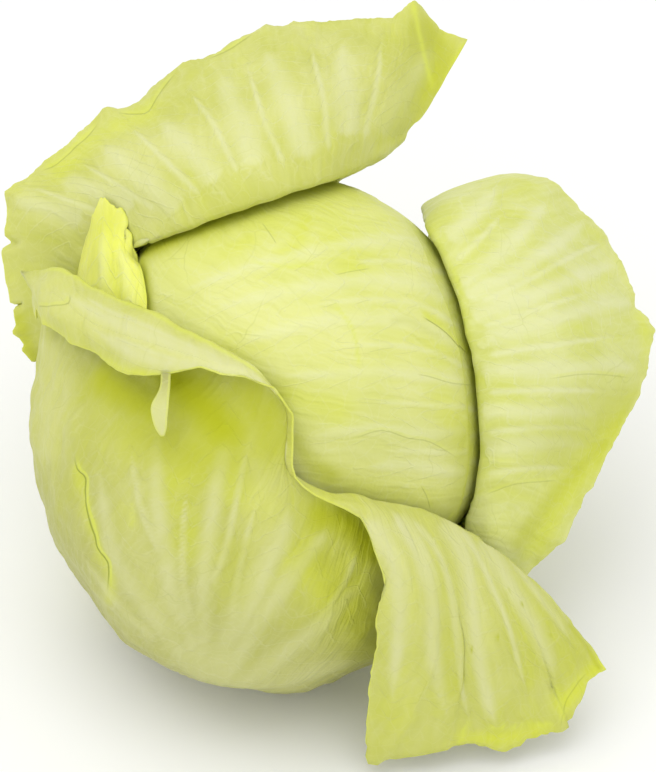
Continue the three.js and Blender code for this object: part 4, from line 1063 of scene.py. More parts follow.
class Value:
    """A number in a material that may change over the surface: operators on it add Math nodes."""

    def __init__(self, nodes: "Nodes", socket: bpy.types.NodeSocket) -> None:
        """Keeps the socket and the nodes that it belongs to."""
        self.nodes = nodes
        self.socket = socket

    def math(self, operation: str, *values: "Value | float", held: bool = False) -> "Value":
        """A Math node on values.

        Args:
            operation: what the node does.
            values: its inputs, in order.
            held: whether the result is held to 0 to 1.

        Returns:
            The node's result.
        """
        settings = {"operation": operation, "use_clamp": held}
        node = self.nodes.add("ShaderNodeMath", settings, dict(enumerate(values)))
        return Value(self.nodes, node.outputs[0])

    def __add__(self, other: "Value | float") -> "Value":
        """Sum."""
        return self.math("ADD", self, other)

    __radd__ = __add__

    def __sub__(self, other: "Value | float") -> "Value":
        """Difference."""
        return self.math("SUBTRACT", self, other)

    def __rsub__(self, other: "Value | float") -> "Value":
        """Difference, with this value taken away."""
        return self.math("SUBTRACT", other, self)

    def __mul__(self, other: "Value | float") -> "Value":
        """Product."""
        return self.math("MULTIPLY", self, other)

    __rmul__ = __mul__

    def __truediv__(self, other: "Value | float") -> "Value":
        """Quotient."""
        return self.math("DIVIDE", self, other)

    def __rtruediv__(self, other: "Value | float") -> "Value":
        """Quotient, with this value below."""
        return self.math("DIVIDE", other, self)

    def held(self) -> "Value":
        """Held to 0 to 1."""
        return self.math("ADD", self, 0.0, held=True)

    def size(self) -> "Value":
        """Without its sign."""
        return self.math("ABSOLUTE", self)

    def fraction(self) -> "Value":
        """Its part after the whole number."""
        return self.math("FRACT", self)

    def above(self, start: float, gain: float) -> "Value":
        """A share that grows from 0 at start: (value - start) * gain."""
        return (self - start) * gain

    def below(self, start: float, gain: float) -> "Value":
        """A share that grows from 0 at start downward: (start - value) * gain."""
        return (start - self) * gain

    def eased(self, start: float, end: float) -> "Value":
        """Smooth step from 0 at start to 1 at end."""
        low, high, first, last = (start, end, 0.0, 1.0) if start < end else (end, start, 1.0, 0.0)
        sockets = {"Value": self, "From Min": low, "From Max": high, "To Min": first, "To Max": last}
        node = self.nodes.add("ShaderNodeMapRange", {"interpolation_type": "SMOOTHSTEP"}, sockets)
        return Value(self.nodes, node.outputs[0])


Colour = tuple[float, float, float]
Wire = Value | bpy.types.NodeSocket | tuple


def paint(red: int, green: int, blue: int) -> Colour:
    """A colour as a screen shows it, 0 to 255, made linear: ((c + 0.055) / 1.055)^2.4."""
    parts = (np.array([red, green, blue]) / 255 + 0.055) / 1.055
    return tuple(float(part) for part in parts**2.4)


class Nodes:
    """The node tree of one material or of the world."""

    def __init__(self, owner: bpy.types.Material | bpy.types.World) -> None:
        """Empties the owner's node tree."""
        owner.use_nodes = True
        self.owner = owner
        self.tree = owner.node_tree
        self.tree.nodes.clear()

    def add(self, kind: str, settings: dict | None = None, sockets: dict | None = None) -> bpy.types.Node:
        """Adds a node.

        Args:
            kind: the node's type.
            settings: its settings, which are set first.
            sockets: values or links of its inputs, by name or number.

        Returns:
            The node.
        """
        node = self.tree.nodes.new(kind)
        for name, setting in (settings or {}).items():
            setattr(node, name, setting)
        for name, value in (sockets or {}).items():
            socket = node.inputs[name]
            if isinstance(value, Value):
                value = value.socket
            if isinstance(value, bpy.types.NodeSocket):
                self.tree.links.new(value, socket)
            elif isinstance(value, tuple) and socket.type == "RGBA":
                socket.default_value = (*value[:3], 1.0)
            else:
                socket.default_value = value
        return node

    def mark(self, name: str) -> Value:
        """A number that the mesh holds at its points."""
        node = self.add("ShaderNodeAttribute", {"attribute_type": "GEOMETRY", "attribute_name": name})
        return Value(self, node.outputs["Fac"])

    def blend(self, share: Value | float, first: Wire, second: Wire) -> bpy.types.NodeSocket:
        """A colour between two: first where share is 0, second where it is 1."""
        settings = {"data_type": "RGBA", "clamp_factor": True}
        return self.add("ShaderNodeMix", settings, {0: share, 6: first, 7: second}).outputs[2]

    def place(self) -> bpy.types.NodeSocket:
        """Object coordinates in metres."""
        return self.add("ShaderNodeTexCoord").outputs["Object"]

    def noise(self, place: bpy.types.NodeSocket, size: float, detail: float) -> Value:
        """Noise from about 0 to 1, with features of a size in millimetres."""
        node = self.add("ShaderNodeTexNoise", {"noise_dimensions": "3D"},
                        {"Vector": place, "Scale": 1 / (size * METRES), "Detail": detail, "Roughness": 0.55})
        return Value(self, node.outputs[0])

    def warped(self, place: bpy.types.NodeSocket, size: float, amount: float) -> bpy.types.NodeSocket:
        """Coordinates shifted by noise: place + amount * (noise colour - 0.5), both in millimetres."""
        wave = self.add("ShaderNodeTexNoise", {"noise_dimensions": "3D"},
                        {"Vector": place, "Scale": 1 / (size * METRES), "Detail": 1.0})
        centred = self.vectors("SUBTRACT", {0: wave.outputs[1], 1: (0.5, 0.5, 0.5)})
        scaled = self.vectors("SCALE", {0: centred, "Scale": amount * METRES})
        return self.vectors("ADD", {0: place, 1: scaled})

    def vectors(self, operation: str, sockets: dict) -> bpy.types.NodeSocket:
        """A Vector Math node on vectors."""
        return self.add("ShaderNodeVectorMath", {"operation": operation}, sockets).outputs[0]

    def streaks(self, across: Value, along: Value, width: float, length: float, detail: float) -> Value:
        """Noise from about 0 to 1 on (across / width, along / length), all in millimetres."""
        place = self.add("ShaderNodeCombineXYZ", sockets={"X": across / width, "Y": along / length})
        return self.noise(place.outputs[0], 1 / METRES, detail)

    def net(self, place: bpy.types.NodeSocket, size: float) -> Value:
        """Distance to the lines of a net of cells of a size in millimetres; 0 on a line."""
        node = self.add("ShaderNodeTexVoronoi", {"feature": "DISTANCE_TO_EDGE", "voronoi_dimensions": "3D"},
                        {"Vector": place, "Scale": 1 / (size * METRES)})
        return Value(self, node.outputs[0])

    def finish(self, sockets: dict, height: Value | None = None) -> bpy.types.Material:
        """Ends the material with its shader.

        Args:
            sockets: inputs of the shader.
            height: relief in millimetres.

        Returns:
            The material.
        """
        if height is not None:
            relief = {"Height": height, "Strength": 1.0, "Distance": METRES}
            sockets = {**sockets, "Normal": self.add("ShaderNodeBump", sockets=relief).outputs[0]}
        shader = self.add("ShaderNodeBsdfPrincipled", sockets=sockets)
        self.add("ShaderNodeOutputMaterial", sockets={"Surface": shader.outputs[0]})
        return self.owner


@dataclass(frozen=True)
class LeafFinish:
    """The surface of a leaf: waxy, slightly see-through, pale ribs, a net of veins, bright rims, painted
    shade and painted highlights.
    """

    name: str
    body: Colour = paint(203, 208, 104)
    pale: Colour = paint(219, 222, 148)
    # The saturated olive of the painted shade; the darker threads take it too.
    shade_and_threads: Colour = paint(182, 188, 16)
    yellow: Colour = paint(214, 221, 64)
    rib: Colour = paint(226, 228, 180)
    rim: Colour = paint(216, 224, 84)
    crack: Colour = paint(158, 166, 54)
    # The colour near the base; where it is darker than the body, as on the front leaf, it is painted shade.
    heart_and_shade: Colour = paint(204, 206, 144)
    rib_share: float = 0.75
    base_fade: float = 0.0
    side_veins: float = 0.3
    net_share: float = 0.14
    net_size: float = 7.0
    rim_share: float = 0.4
    streak_share: float = 0.5
    thread_share: float = 0.3
    crease_share: float = 0.16
    roughness: float = 0.48
    grain_roughness: float = 0.16
    ior: float = 1.42
    shine: float = 0.35
    glow: float = 0.35
    glow_depth: float = 2.5
    glow_reach: Colour = (1.0, 0.95, 0.5)
    cloud_size: float = 30.0
    mottle_size: float = 8.0
    grain_size: float = 1.6
    # Width and length of the streaks and threads, and how far noise pushes them aside, in millimetres.
    streak_size: Pair = (8.0, 46.0)
    thread_size: Pair = (2.4, 26.0)
    streak_wander: float = 14.0
    thread_wander: float = 3.0
    # Where a tint starts on its noise, and how fast it grows from there.
    cloud_pale: Pair = (0.4, 2.0)
    streak_pale: Pair = (0.46, 2.8)
    streak_yellow: Pair = (0.5, 2.4)
    mottle_yellow: Pair = (0.52, 1.2)
    thread_rib: Pair = (0.5, 1.8)
    thread_deep: Pair = (0.5, 1.6)
    # Share of the colour near the base, painted shade where that colour is darker.
    heart_and_shade_share: float = 0.8
    # The side veins: gap, slant and wander in millimetres, half width as a part of the gap, strength, and
    # over how many half widths of a rib they fade before FAR.
    vein_gap: float = 10.5
    vein_slant: float = 3.4
    vein_wander: float = 5.0
    vein_width: float = 0.08
    vein_gain: float = 1.6
    vein_clear: float = 1.2
    # The net: size and amount of its warp in millimetres, and half width of its lines as a part of a cell.
    net_warp: Pair = (12.0, 7.0)
    net_line: float = 0.05
    # The creases: cells in net sizes, half width, and where they start on the clouds and how fast they grow.
    crease_size: float = 2.9
    crease_line: float = 0.016
    crease_cloud: float = 0.47
    crease_gain: float = 6.0
    # The ribs: where their tint ends, in half widths, and its gain on the streaks with its least share.
    rib_width: float = 1.9
    rib_streak: Pair = (1.2, 0.4)
    # Millimetres: the bright rim and its roughness, a crack's bright lip, and its line.
    rim_width: Pair = (0.9, 0.15)
    rim_grain: float = 0.9
    lip_place: float = 0.9
    lip_width: Pair = (0.9, 0.2)
    lip_share: float = 0.6
    line_width: Pair = (0.42, 0.05)
    # How strongly crests take the rim colour as a painted highlight.
    fold_share: float = 0.7
    # Relief in millimetres.
    grain_height: float = 0.12
    mottle_height: float = 0.4
    thread_height: float = 0.32
    streak_height: float = 0.9
    side_height: float = 0.12
    line_depth: float = 0.22

    def material(self) -> bpy.types.Material:
        """Builds the finish from the marks on the mesh and from noise on the object's coordinates.

        Clouds, streaks and threads along the ribs lie lowest, and the colour near the base; then come the
        tints, the net of veins, the side veins and the ribs, the painted shade, the creases, the rim, the
        cracks and the painted highlights along crests. Where the colour near the base is darker than the
        body, as on the front leaf, it is painted shade too.

        Returns:
            The material.
        """
        nodes = Nodes(bpy.data.materials.new(self.name))
        place = nodes.place()
        rib, rim, run = nodes.mark("rib"), nodes.mark("rim"), nodes.mark("run")
        cloud = nodes.noise(place, self.cloud_size, 2.0)
        mottle = nodes.noise(place, self.mottle_size, 3.0)
        grain = nodes.noise(place, self.grain_size, 2.0)
        across = nodes.mark("across") + (cloud - 0.5) * self.streak_wander
        streak = nodes.streaks(across, run, *self.streak_size, 2.0)
        thread = nodes.streaks(across + (mottle - 0.5) * self.thread_wander, run, *self.thread_size, 1.0)
        colour = nodes.blend(cloud.above(*self.cloud_pale), self.body, self.pale)
        colour = nodes.blend(streak.above(*self.streak_pale) * self.streak_share, colour, self.pale)
        colour = nodes.blend(streak.below(*self.streak_yellow) * self.streak_share, colour, self.yellow)
        colour = nodes.blend(mottle.above(*self.mottle_yellow) * self.streak_share, colour, self.yellow)
        # The colour near the base: painted shade where it is darker, as on the front leaf.
        colour = nodes.blend(nodes.mark("base") * self.heart_and_shade_share, colour, self.heart_and_shade)
        # Yellow and pale strokes: in places painted shade and painted light.
        colour = nodes.blend(nodes.mark("yellow"), colour, self.yellow)
        colour = nodes.blend(nodes.mark("pale"), colour, self.pale)
        colour = nodes.blend(thread.above(*self.thread_rib) * self.thread_share, colour, self.rib)
        colour = nodes.blend(thread.below(*self.thread_deep) * self.thread_share, colour, self.shade_and_threads)
        wander = (mottle - 0.5) * self.vein_wander
        chevron = ((run + rib * self.vein_slant + wander) / self.vein_gap).fraction()
        side = (chevron - 0.5).size().eased(self.vein_width, 0.0) * rib.eased(FAR, FAR - self.vein_clear)
        loose = nodes.warped(place, *self.net_warp)
        web = nodes.net(loose, self.net_size).eased(self.net_line, 0.0)
        crease = nodes.net(loose, self.net_size * self.crease_size).eased(self.crease_line, 0.0)
        crease = crease * (cloud - self.crease_cloud).held() * self.crease_gain
        colour = nodes.blend(web * self.net_share, colour, self.rib)
        colour = nodes.blend(side * self.side_veins * mottle * self.vein_gain, colour, self.rib)
        gain, least = self.rib_streak
        ridge = rib.eased(self.rib_width, 0.0) * self.rib_share * (streak * gain + least)
        colour = nodes.blend(ridge * (1.0 - nodes.mark("base") * self.base_fade), colour, self.rib)
        # Painted shade: darker strokes turn the colour to the saturated olive.
        colour = nodes.blend(nodes.mark("shade_and_threads"), colour, self.shade_and_threads)
        colour = nodes.blend(crease * self.crease_share, colour, self.crack)
        rough_rim = rim + (grain - 0.5) * self.rim_grain
        colour = nodes.blend(rough_rim.eased(*self.rim_width) * self.rim_share, colour, self.rim)
        crack, there = nodes.mark("crack"), nodes.mark("crack_on")
        lip = (crack - self.lip_place).size().eased(*self.lip_width) * there
        colour = nodes.blend(lip * self.lip_share, colour, self.rim)
        line = crack.size().eased(*self.line_width) * there
        colour = nodes.blend(line, colour, self.crack)
        # Painted highlight: crests turn to the bright rim colour.
        colour = nodes.blend(nodes.mark("fold") * self.fold_share, colour, self.rim)
        height = (grain - 0.5) * self.grain_height + (mottle - 0.5) * self.mottle_height
        height = height + (thread - 0.5) * self.thread_height + (streak - 0.5) * self.streak_height
        return nodes.finish({
            "Base Color": colour,
            "Roughness": (grain - 0.5) * self.grain_roughness + self.roughness,
            "IOR": self.ior,
            "Specular IOR Level": self.shine,
            "Subsurface Weight": self.glow,
            "Subsurface Radius": self.glow_reach,
            "Subsurface Scale": self.glow_depth * METRES,
        }, height + side * self.side_height - line * self.line_depth)


@dataclass(frozen=True)
class StumpFinish:
    """The cut stump: pale and grainy, with a darker ring of strands."""

    name: str
    flesh: Colour = paint(226, 226, 190)
    strand: Colour = paint(190, 186, 128)
    ring_radius: float = 12.0
    ring_wander: float = 3.0
    ring_width: Pair = (2.2, 0.3)
    ring_share: float = 0.7
    grain_size: float = 2.2
    grain_strand: Pair = (0.4, 1.6)
    grain_height: float = 0.5
    ring_height: float = 0.2

    def material(self) -> bpy.types.Material:
        """Builds the finish: a fine grain, and a darker ring at ring_radius from the axis."""
        nodes = Nodes(bpy.data.materials.new(self.name))
        place = nodes.place()
        grain = nodes.noise(place, self.grain_size, 4.0)
        wander = (grain - 0.5) * self.ring_wander
        ring = (nodes.mark("radius") - self.ring_radius + wander).size().eased(*self.ring_width)
        colour = nodes.blend(grain.above(*self.grain_strand), self.flesh, self.strand)
        colour = nodes.blend(ring * self.ring_share, colour, self.strand)
        sockets = {"Base Color": colour, "Roughness": 0.6, "Subsurface Weight": 0.15,
                   "Subsurface Scale": 3 * METRES}
        return nodes.finish(sockets, (grain - 0.5) * self.grain_height + ring * self.ring_height)


@dataclass
class Head:
    """The tight ball of leaves: a ball above its middle and a squarer form below, with shallow relief."""

    name: str = "cabbage_head"
    node: str = "head"
    cells: tuple[int, int] = (260, 180)
    seed: int = 3
    sink: float = 0.35
    wave_size: float = 30.0
    wave_height: float = 0.25
    dent_size: float = 11.0
    dent_height: float = 0.12
    crack_depth: float = 0.2
    crack_width: float = 2.0
    axis_shift: float = 80.0
    patches: tuple[Patch, ...] = ()

    def mesh(self) -> Mesh:
        """Points over_head(angle, tilt), moved out by noise of two sizes, less the sink, plus the swell.

        Cracks are cut in, and both poles are closed.

        Returns:
            The mesh, with the marks that the finish reads.
        """
        around, down = self.cells
        angle = np.linspace(0, 360, around, endpoint=False)
        tilt = np.linspace(0, 180, down + 2)[1:-1]
        points = PLANT.over_head(angle[:, None] + 0 * tilt[None, :], tilt[None, :] + 0 * angle[:, None])
        poles = PLANT.over_head(np.array([0.0, 0.0]), np.array([0.0, 180.0]))
        points = np.concatenate([points.reshape(-1, 3), poles])
        out = unit(points)
        share = smooth(*FACING, (out * unit(PLANT.viewer - points)).sum(-1))
        shown = [(patch, share, 1.0) for patch in self.patches]
        drawn = marked(PLANT.picture(points), np.full(len(points), FAR), shown, folds_fade=False)
        marks = {name: drawn[name] for name in ("rib", "crack", "crack_on", "fold")}
        marks |= {tint.value: drawn[f"{tint.value}1"] for tint in TINTS}
        marks["base"] = np.zeros(len(points))
        marks["rim"] = np.full(len(points), NO_RIM)
        marks["across"] = self.axis_shift + points @ PLANT.axis
        arc = (angle + 180) % 360 * math.radians(PLANT.head_radius)
        marks["run"] = np.append(np.repeat(arc, down), [0.0, 0.0])
        relief = self.wave_height * Crumple(self.seed + 1).at(points, self.wave_size) - self.sink
        relief = relief + self.dent_height * Crumple(self.seed).at(points, self.dent_size)
        crack = np.exp(-(marks["crack"] / self.crack_width) ** 2) * marks["crack_on"]
        relief = relief - self.crack_depth * crack
        points = points + out * (relief + PLANT.swell(points))[:, None]
        size = around * down
        top = np.arange(around) * down
        caps = np.concatenate([fan(size, top), fan(size + 1, top + down - 1)[:, [0, 2, 1]]])
        quads = grid_quads(around, down, round_trip=True)[:, [0, 3, 2, 1]]
        return Mesh(PLANT.to_table(points) * METRES, quads, marks, caps)


@dataclass
class Stump:
    """The short stem under the head, cut square across."""

    name: str = "cabbage_stump"
    node: str = "stem"
    radius: float = 18.0
    bottom: float = 9.0
    top: float = 20.0
    flute: float = 0.35
    flutes: int = 7
    around: int = 72

    def mesh(self) -> Mesh:
        """A profile of radius and height carried round the plant's axis, its ends closed at the axis.

        The profile runs out over the cut and its worn edge, up the side and in over the top. The side is
        fluted by flute * sin(flutes * angle).

        Returns:
            The mesh, with each point's distance from the axis.
        """
        r, low, high = self.radius, self.bottom, self.top
        profile = np.array([[r * 0.33, low], [r * 0.66, low], [r - 1.5, low], [r - 0.5, low + 0.4],
                            [r, low + 1.5], [r, (low + high) / 2], [r, high - 3], [r - 1.2, high - 1],
                            [r - 3, high], [r * 0.4, high]])
        angle = np.linspace(0, 360, self.around, endpoint=False)
        fluting = self.flute * np.sin(np.radians(angle * self.flutes))
        radius = profile[:, 0] + fluting[:, None] * (profile[:, 0] > r - 1)
        points = PLANT.around(angle[:, None] + 0 * radius, radius, profile[:, 1] + 0 * radius).reshape(-1, 3)
        poles = PLANT.around(np.zeros(2), np.zeros(2), np.array([low, high]))
        count = len(profile)
        rim = np.arange(self.around) * count
        pole = self.around * count
        caps = np.concatenate([fan(pole, rim)[:, [0, 2, 1]], fan(pole + 1, rim + count - 1)])
        quads = grid_quads(self.around, count, round_trip=True)
        table = PLANT.to_table(np.concatenate([points, poles]))
        return Mesh(table * METRES, quads, {"radius": np.append(radius.ravel(), [0.0, 0.0])}, caps)


def ribs(width: float, end_width: float, *lines: Stations) -> tuple[Stroke, ...]:
    """Rib strokes that all taper from one half width to another."""
    return tuple(Stroke(Mark.RIB, line, width, end_width) for line in lines)


def strokes(mark: Mark, width: float, amount: float, *lines: Stations) -> tuple[Stroke, ...]:
    """Strokes of one kind, half width and strength."""
    return tuple(Stroke(mark, line, width, None, amount) for line in lines)


# Fold strokes paint highlights along crests; darker strokes paint shade; paler and yellower strokes tint, in
# places as painted light and shade.
cracks, folds = partial(strokes, Mark.CRACK), partial(strokes, Mark.FOLD)
darker, paler, yellower = (partial(strokes, tint) for tint in TINTS)

# What the photograph shows on each leaf, in pixels, with half widths in millimetres.
# The folded-back band of the back leaf, whose inner face shows above the head.
BACK_BAND = Patch(-1, (
    ribs(5.4, 3.0, ((86, 221), (45, 206), (9, 198)), ((138, 207), (95, 192), (52, 179)),
         ((184, 213), (140, 176), (95, 141)), ((222, 182), (190, 150), (153, 114)),
         ((257, 172), (238, 118), (217, 65)), ((310, 165), (294, 118), (274, 72), (262, 45)),
         ((345, 141), (346, 90), (341, 35)), ((379, 141), (402, 100), (424, 65), (432, 40))),
    ribs(1.5, 0.8, ((204, 198), (165, 160), (125, 122)), ((240, 178), (214, 125), (186, 88)),
         ((284, 168), (264, 118), (244, 56)), ((328, 156), (322, 95), (308, 36)),
         ((362, 142), (375, 90), (382, 35)), ((160, 212), (120, 186), (75, 160)),
         ((112, 214), (66, 200), (28, 186))),
    paler(9.0, 0.7, ((120, 160), (200, 140), (280, 110), (350, 75))),
    paler(5.0, 0.5, ((40, 215), (100, 222), (150, 215))),
    yellower(5.0, 0.55, ((60, 170), (100, 138), (150, 112))),
    yellower(6.0, 0.5, ((390, 130), (410, 105), (430, 70))),
    # Painted shade on the band's right end, turned from the light, on its folded-back corner and on its torn
    # end behind the front leaf.
    darker(9.0, 0.6, ((396, 130), (420, 95), (448, 62))),
    darker(9.0, 0.6, ((424, 30), (436, 62), (440, 90))),
    darker(4.0, 0.6, ((18, 318), (26, 340), (33, 356))),
    # Painted highlights along the edges of the corner.
    folds(1.0, 0.9, ((412, 2), (417, 28), (434, 94))),
    folds(1.4, 0.9, ((439, 96), (452, 70), (466, 40))),
    cracks(1.0, 0.5, ((42, 172), (59, 165), (74, 150), (88, 139), (100, 123)),
           ((117, 114), (135, 115), (150, 112), (164, 91), (178, 74)), ((210, 62), (232, 50), (254, 36)))),
    along=(0.6, 1.0))

# The part of the back leaf between its fold and the head, painted darker as its own shade.
BACK_UNDER = Patch(-1, (darker(40.0, 0.5, ((150, 250), (340, 160))),), along=(0.0, 0.58), has_ribs=False)

# The margins: rib number, then millimetres right and up in the picture.
BACK_MARGIN: Stations = (
    (0, -104.5, 5), (0.3, -106.6, 2), (0.7, -111, 7), (0.85, -110, 9), (1, -112, 12), (1.15, -115, 14),
    (1.35, -113, 17), (1.7, -114, 23.4), (1.85, -111, 26), (1.95, -116, 26), (2.4, -117.7, 35.7),
    (2.9, -119.3, 48), (3.05, -114.8, 51), (3.2, -118.5, 54), (3.5, -118, 62), (4, -118, 72),
    (4.15, -115, 74), (4.4, -110, 77), (4.5, -108, 79), (4.83, -100, 85), (5.05, -95, 89),
    (5.33, -90, 93.5), (5.6, -85, 97), (5.85, -80, 103), (5.95, -78, 106), (6.05, -76, 107),
    (6.25, -72, 106), (6.5, -67, 107), (6.77, -60, 112), (6.85, -58, 115), (7.17, -50, 120),
    (7.38, -45, 124.5), (7.5, -42, 125.5), (7.71, -37, 126), (8, -30, 129.5), (8.19, -25, 133.5),
    (8.38, -20, 135.5), (8.58, -15, 137.5), (8.73, -11, 140), (8.85, -8, 139.8), (9.17, 0, 142),
    (9.38, 5, 141), (9.5, 8, 142.5), (9.67, 12, 141.5), (9.92, 18, 142.5), (10.24, 25, 143.5),
    (10.71, 35, 143.5), (11, 41, 143), (11.45, 45, 146), (11.9, 49, 150), (12, 50, 150.5), (12.3, 55, 145),
    (12.6, 60, 139), (12.95, 70, 134.5), (13, 71.5, 134.5))

# The left half of the front leaf, folded outward into a flap: its inner face shows.
FRONT_FLAP = Patch(-1, (
    ribs(3.5, 2.0, ((280, 400), (250, 374), (200, 354), (140, 335), (90, 310), (50, 285)),
         ((250, 374), (205, 366), (160, 362), (120, 345), (75, 318))),
    ribs(1.4, 0.9, ((230, 362), (180, 343), (120, 318), (70, 288)), ((200, 368), (150, 352), (100, 332))),
    paler(9.0, 0.9, ((60, 300), (130, 335), (190, 355), (240, 368))),
    yellower(2.5, 0.7, ((40, 318), (62, 338), (100, 360), (150, 376), (200, 370))),
    yellower(4.0, 0.5, ((270, 395), (286, 425), (288, 470))),
    # Painted highlight along the flap's crest.
    folds(0.8, 0.8, ((35, 275), (60, 272), (98, 292), (147, 315), (195, 337), (244, 362), (275, 390))),
    cracks(1.0, 0.45, ((39, 306), (54, 307), (69, 304), (71, 296)))),
    along=(0.6, 1.0), across=(-1, 9.3))

# The right half of the front leaf, folded outward and hanging down to the table: its inner face shows.
FRONT_HANG = Patch(-1, (
    ribs(3.8, 2.2, ((360, 512), (390, 555), (400, 600), (396, 660), (390, 730)),
         ((385, 508), (415, 545), (430, 590), (432, 640), (440, 690), (452, 735)),
         ((435, 510), (465, 560), (476, 640), (488, 700), (502, 738)),
         ((475, 530), (510, 585), (540, 640), (560, 690))),
    ribs(1.5, 0.9, ((405, 512), (440, 560), (454, 620), (462, 690), (474, 735)),
         ((455, 520), (488, 575), (512, 640), (530, 705)), ((500, 550), (540, 600), (575, 650))),
    paler(9.0, 0.6, ((370, 520), (400, 560), (412, 620))),
    paler(8.0, 0.35, ((450, 540), (480, 620), (490, 690))),
    # Painted shade where the hanging flap turns down and away from the light.
    darker(12.0, 0.22, ((520, 560), (560, 620), (580, 660))),
    darker(9.0, 0.22, ((440, 600), (450, 680))),
    yellower(5.0, 0.85, ((564, 702), (580, 690), (596, 672))),
    yellower(3.6, 0.75, ((462, 739), (500, 740), (548, 731))),
    darker(1.2, 0.6, ((568, 626), (584, 648), (600, 668))),
    darker(0.7, 0.9, ((508, 592),), ((521, 605),), ((496, 636),), ((549, 634),), ((471, 648),)),
    # Painted highlights along the small turned-up edges.
    folds(0.7, 0.9, ((458, 743), (463, 730), (472, 720)), ((485, 728), (520, 726), (556, 722)),
          ((556, 684), (560, 704), (564, 722))),
    cracks(0.8, 0.35, ((560, 726), (566, 700), (590, 672)))),
    along=(0.6, 1.0), across=(9.7, 20))

# The outer face of the front leaf, below both flaps.
FRONT_BELLY = Patch(1, (
    ribs(6.7, 2.7, ((213, 690), (222, 650), (245, 610), (264, 570), (282, 530), (291, 478))),
    ribs(4.2, 2.2, ((205, 690), (190, 660), (150, 610), (118, 560), (105, 505), (100, 450)),
         ((207, 690), (198, 655), (178, 600), (166, 550), (160, 505), (158, 450), (160, 395)),
         ((209, 690), (204, 640), (204, 590), (210, 530), (218, 480), (226, 430), (228, 385)),
         ((216, 690), (236, 655), (262, 612), (290, 575), (318, 540), (335, 515)),
         ((220, 692), (262, 668), (310, 630), (345, 600), (368, 575)),
         ((228, 694), (280, 684), (330, 668), (365, 650))),
    ribs(1.6, 0.9, ((200, 640), (186, 585), (184, 530), (190, 470)),
         ((232, 632), (236, 590), (244, 545), (258, 490)), ((178, 655), (140, 600), (116, 560), (92, 520)),
         ((160, 640), (120, 600), (80, 545)), ((300, 640), (340, 590), (360, 545)),
         ((210, 590), (228, 540), (240, 480), (250, 440)), ((166, 560), (140, 500), (132, 440))),
    # Painted shadow in the hollow under the left flap and in the notch under the right flap, and painted
    # shade on the belly's lower right.
    darker(14.0, 1.0, ((174, 385), (200, 402), (224, 430))),
    darker(10.0, 0.9, ((108, 382), (130, 396), (152, 408))),
    darker(12.0, 0.7, ((250, 395), (266, 420), (268, 446))),
    darker(13.0, 0.6, ((140, 432), (190, 452), (232, 455))),
    darker(9.0, 0.9, ((322, 515), (350, 525), (372, 548))),
    darker(13.0, 0.55, ((320, 560), (345, 600), (362, 630))),
    darker(7.0, 0.35, ((238, 552), (232, 585))),
    yellower(8.0, 0.35, ((178, 480), (190, 545))),
    yellower(8.0, 0.4, ((236, 486), (262, 505))),
    # Yellower painted shade on the belly's lower right.
    yellower(9.0, 0.5, ((300, 560), (345, 600), (360, 560))),
    yellower(2.4, 0.5, ((80, 468), (87, 502), (96, 538), (112, 574), (114, 596))),
    paler(11.0, 0.3, ((105, 600), (160, 640), (240, 670), (320, 672))),
    paler(6.0, 0.6, ((52, 350), (45, 400), (48, 450))),
    paler(9.0, 0.45, ((132, 450), (136, 540), (165, 620))),
    paler(9.0, 0.4, ((262, 440), (262, 520), (244, 590))),
    # Painted highlight along a short crest.
    folds(1.0, 0.5, ((132, 500), (134, 528))),
    cracks(1.2, 1.0, ((77, 452), (80, 468), (86, 478), (87, 502), (94, 534), (98, 548), (109, 562),
            (110, 574), (112, 592)))),
    along=(0.0, 0.59))

FRONT_MARGIN: Stations = (
    (0, -104.5, 20), (0.6, -104.5, 25), (1.4, -101.5, 18.5), (1.6, -101, 17.5), (2.1, -95, 14),
    (2.45, -90, 10), (3.05, -80, 5), (3.35, -75, 1), (3.75, -67, -2.5), (4.1, -60, -3.5), (4.6, -50, -2.5),
    (5.05, -38, 0), (5.5, -30, -3), (6, -20, -4), (7, -7.6, -8.6), (8, 0.2, -20), (9, -0.3, -40.6),
    (9.5, 1.2, -45.6), (10, 4.4, -49.3), (10.5, 9, -52.6), (11, 14.5, -55.2), (11.5, 21.5, -58.3),
    (11.85, 28, -62), (12, 30.5, -66.8), (12.08, 32, -70), (12.2, 33.4, -75.5), (12.4, 36, -83),
    (12.55, 36.6, -89), (12.67, 35.2, -95), (12.8, 33.6, -103), (12.9, 34.4, -110), (13.07, 33, -120),
    (13.21, 31, -130), (13.5, 30, -150), (13.75, 29.5, -162), (13.85, 34, -165), (14, 40, -161),
    (14.3, 53, -160), (14.5, 62, -157.5), (14.7, 66, -154.5), (14.87, 70, -154), (15.17, 77, -156),
    (15.4, 82, -158), (15.6, 87, -158), (15.83, 92, -156), (16.06, 97, -153), (16.75, 108, -150),
    (17.1, 113, -148.5), (17.2, 112, -146), (17.4, 115, -143), (17.8, 120, -135), (18.1, 122, -129.5),
    (18.6, 126, -126), (19, 128.5, -124.5))

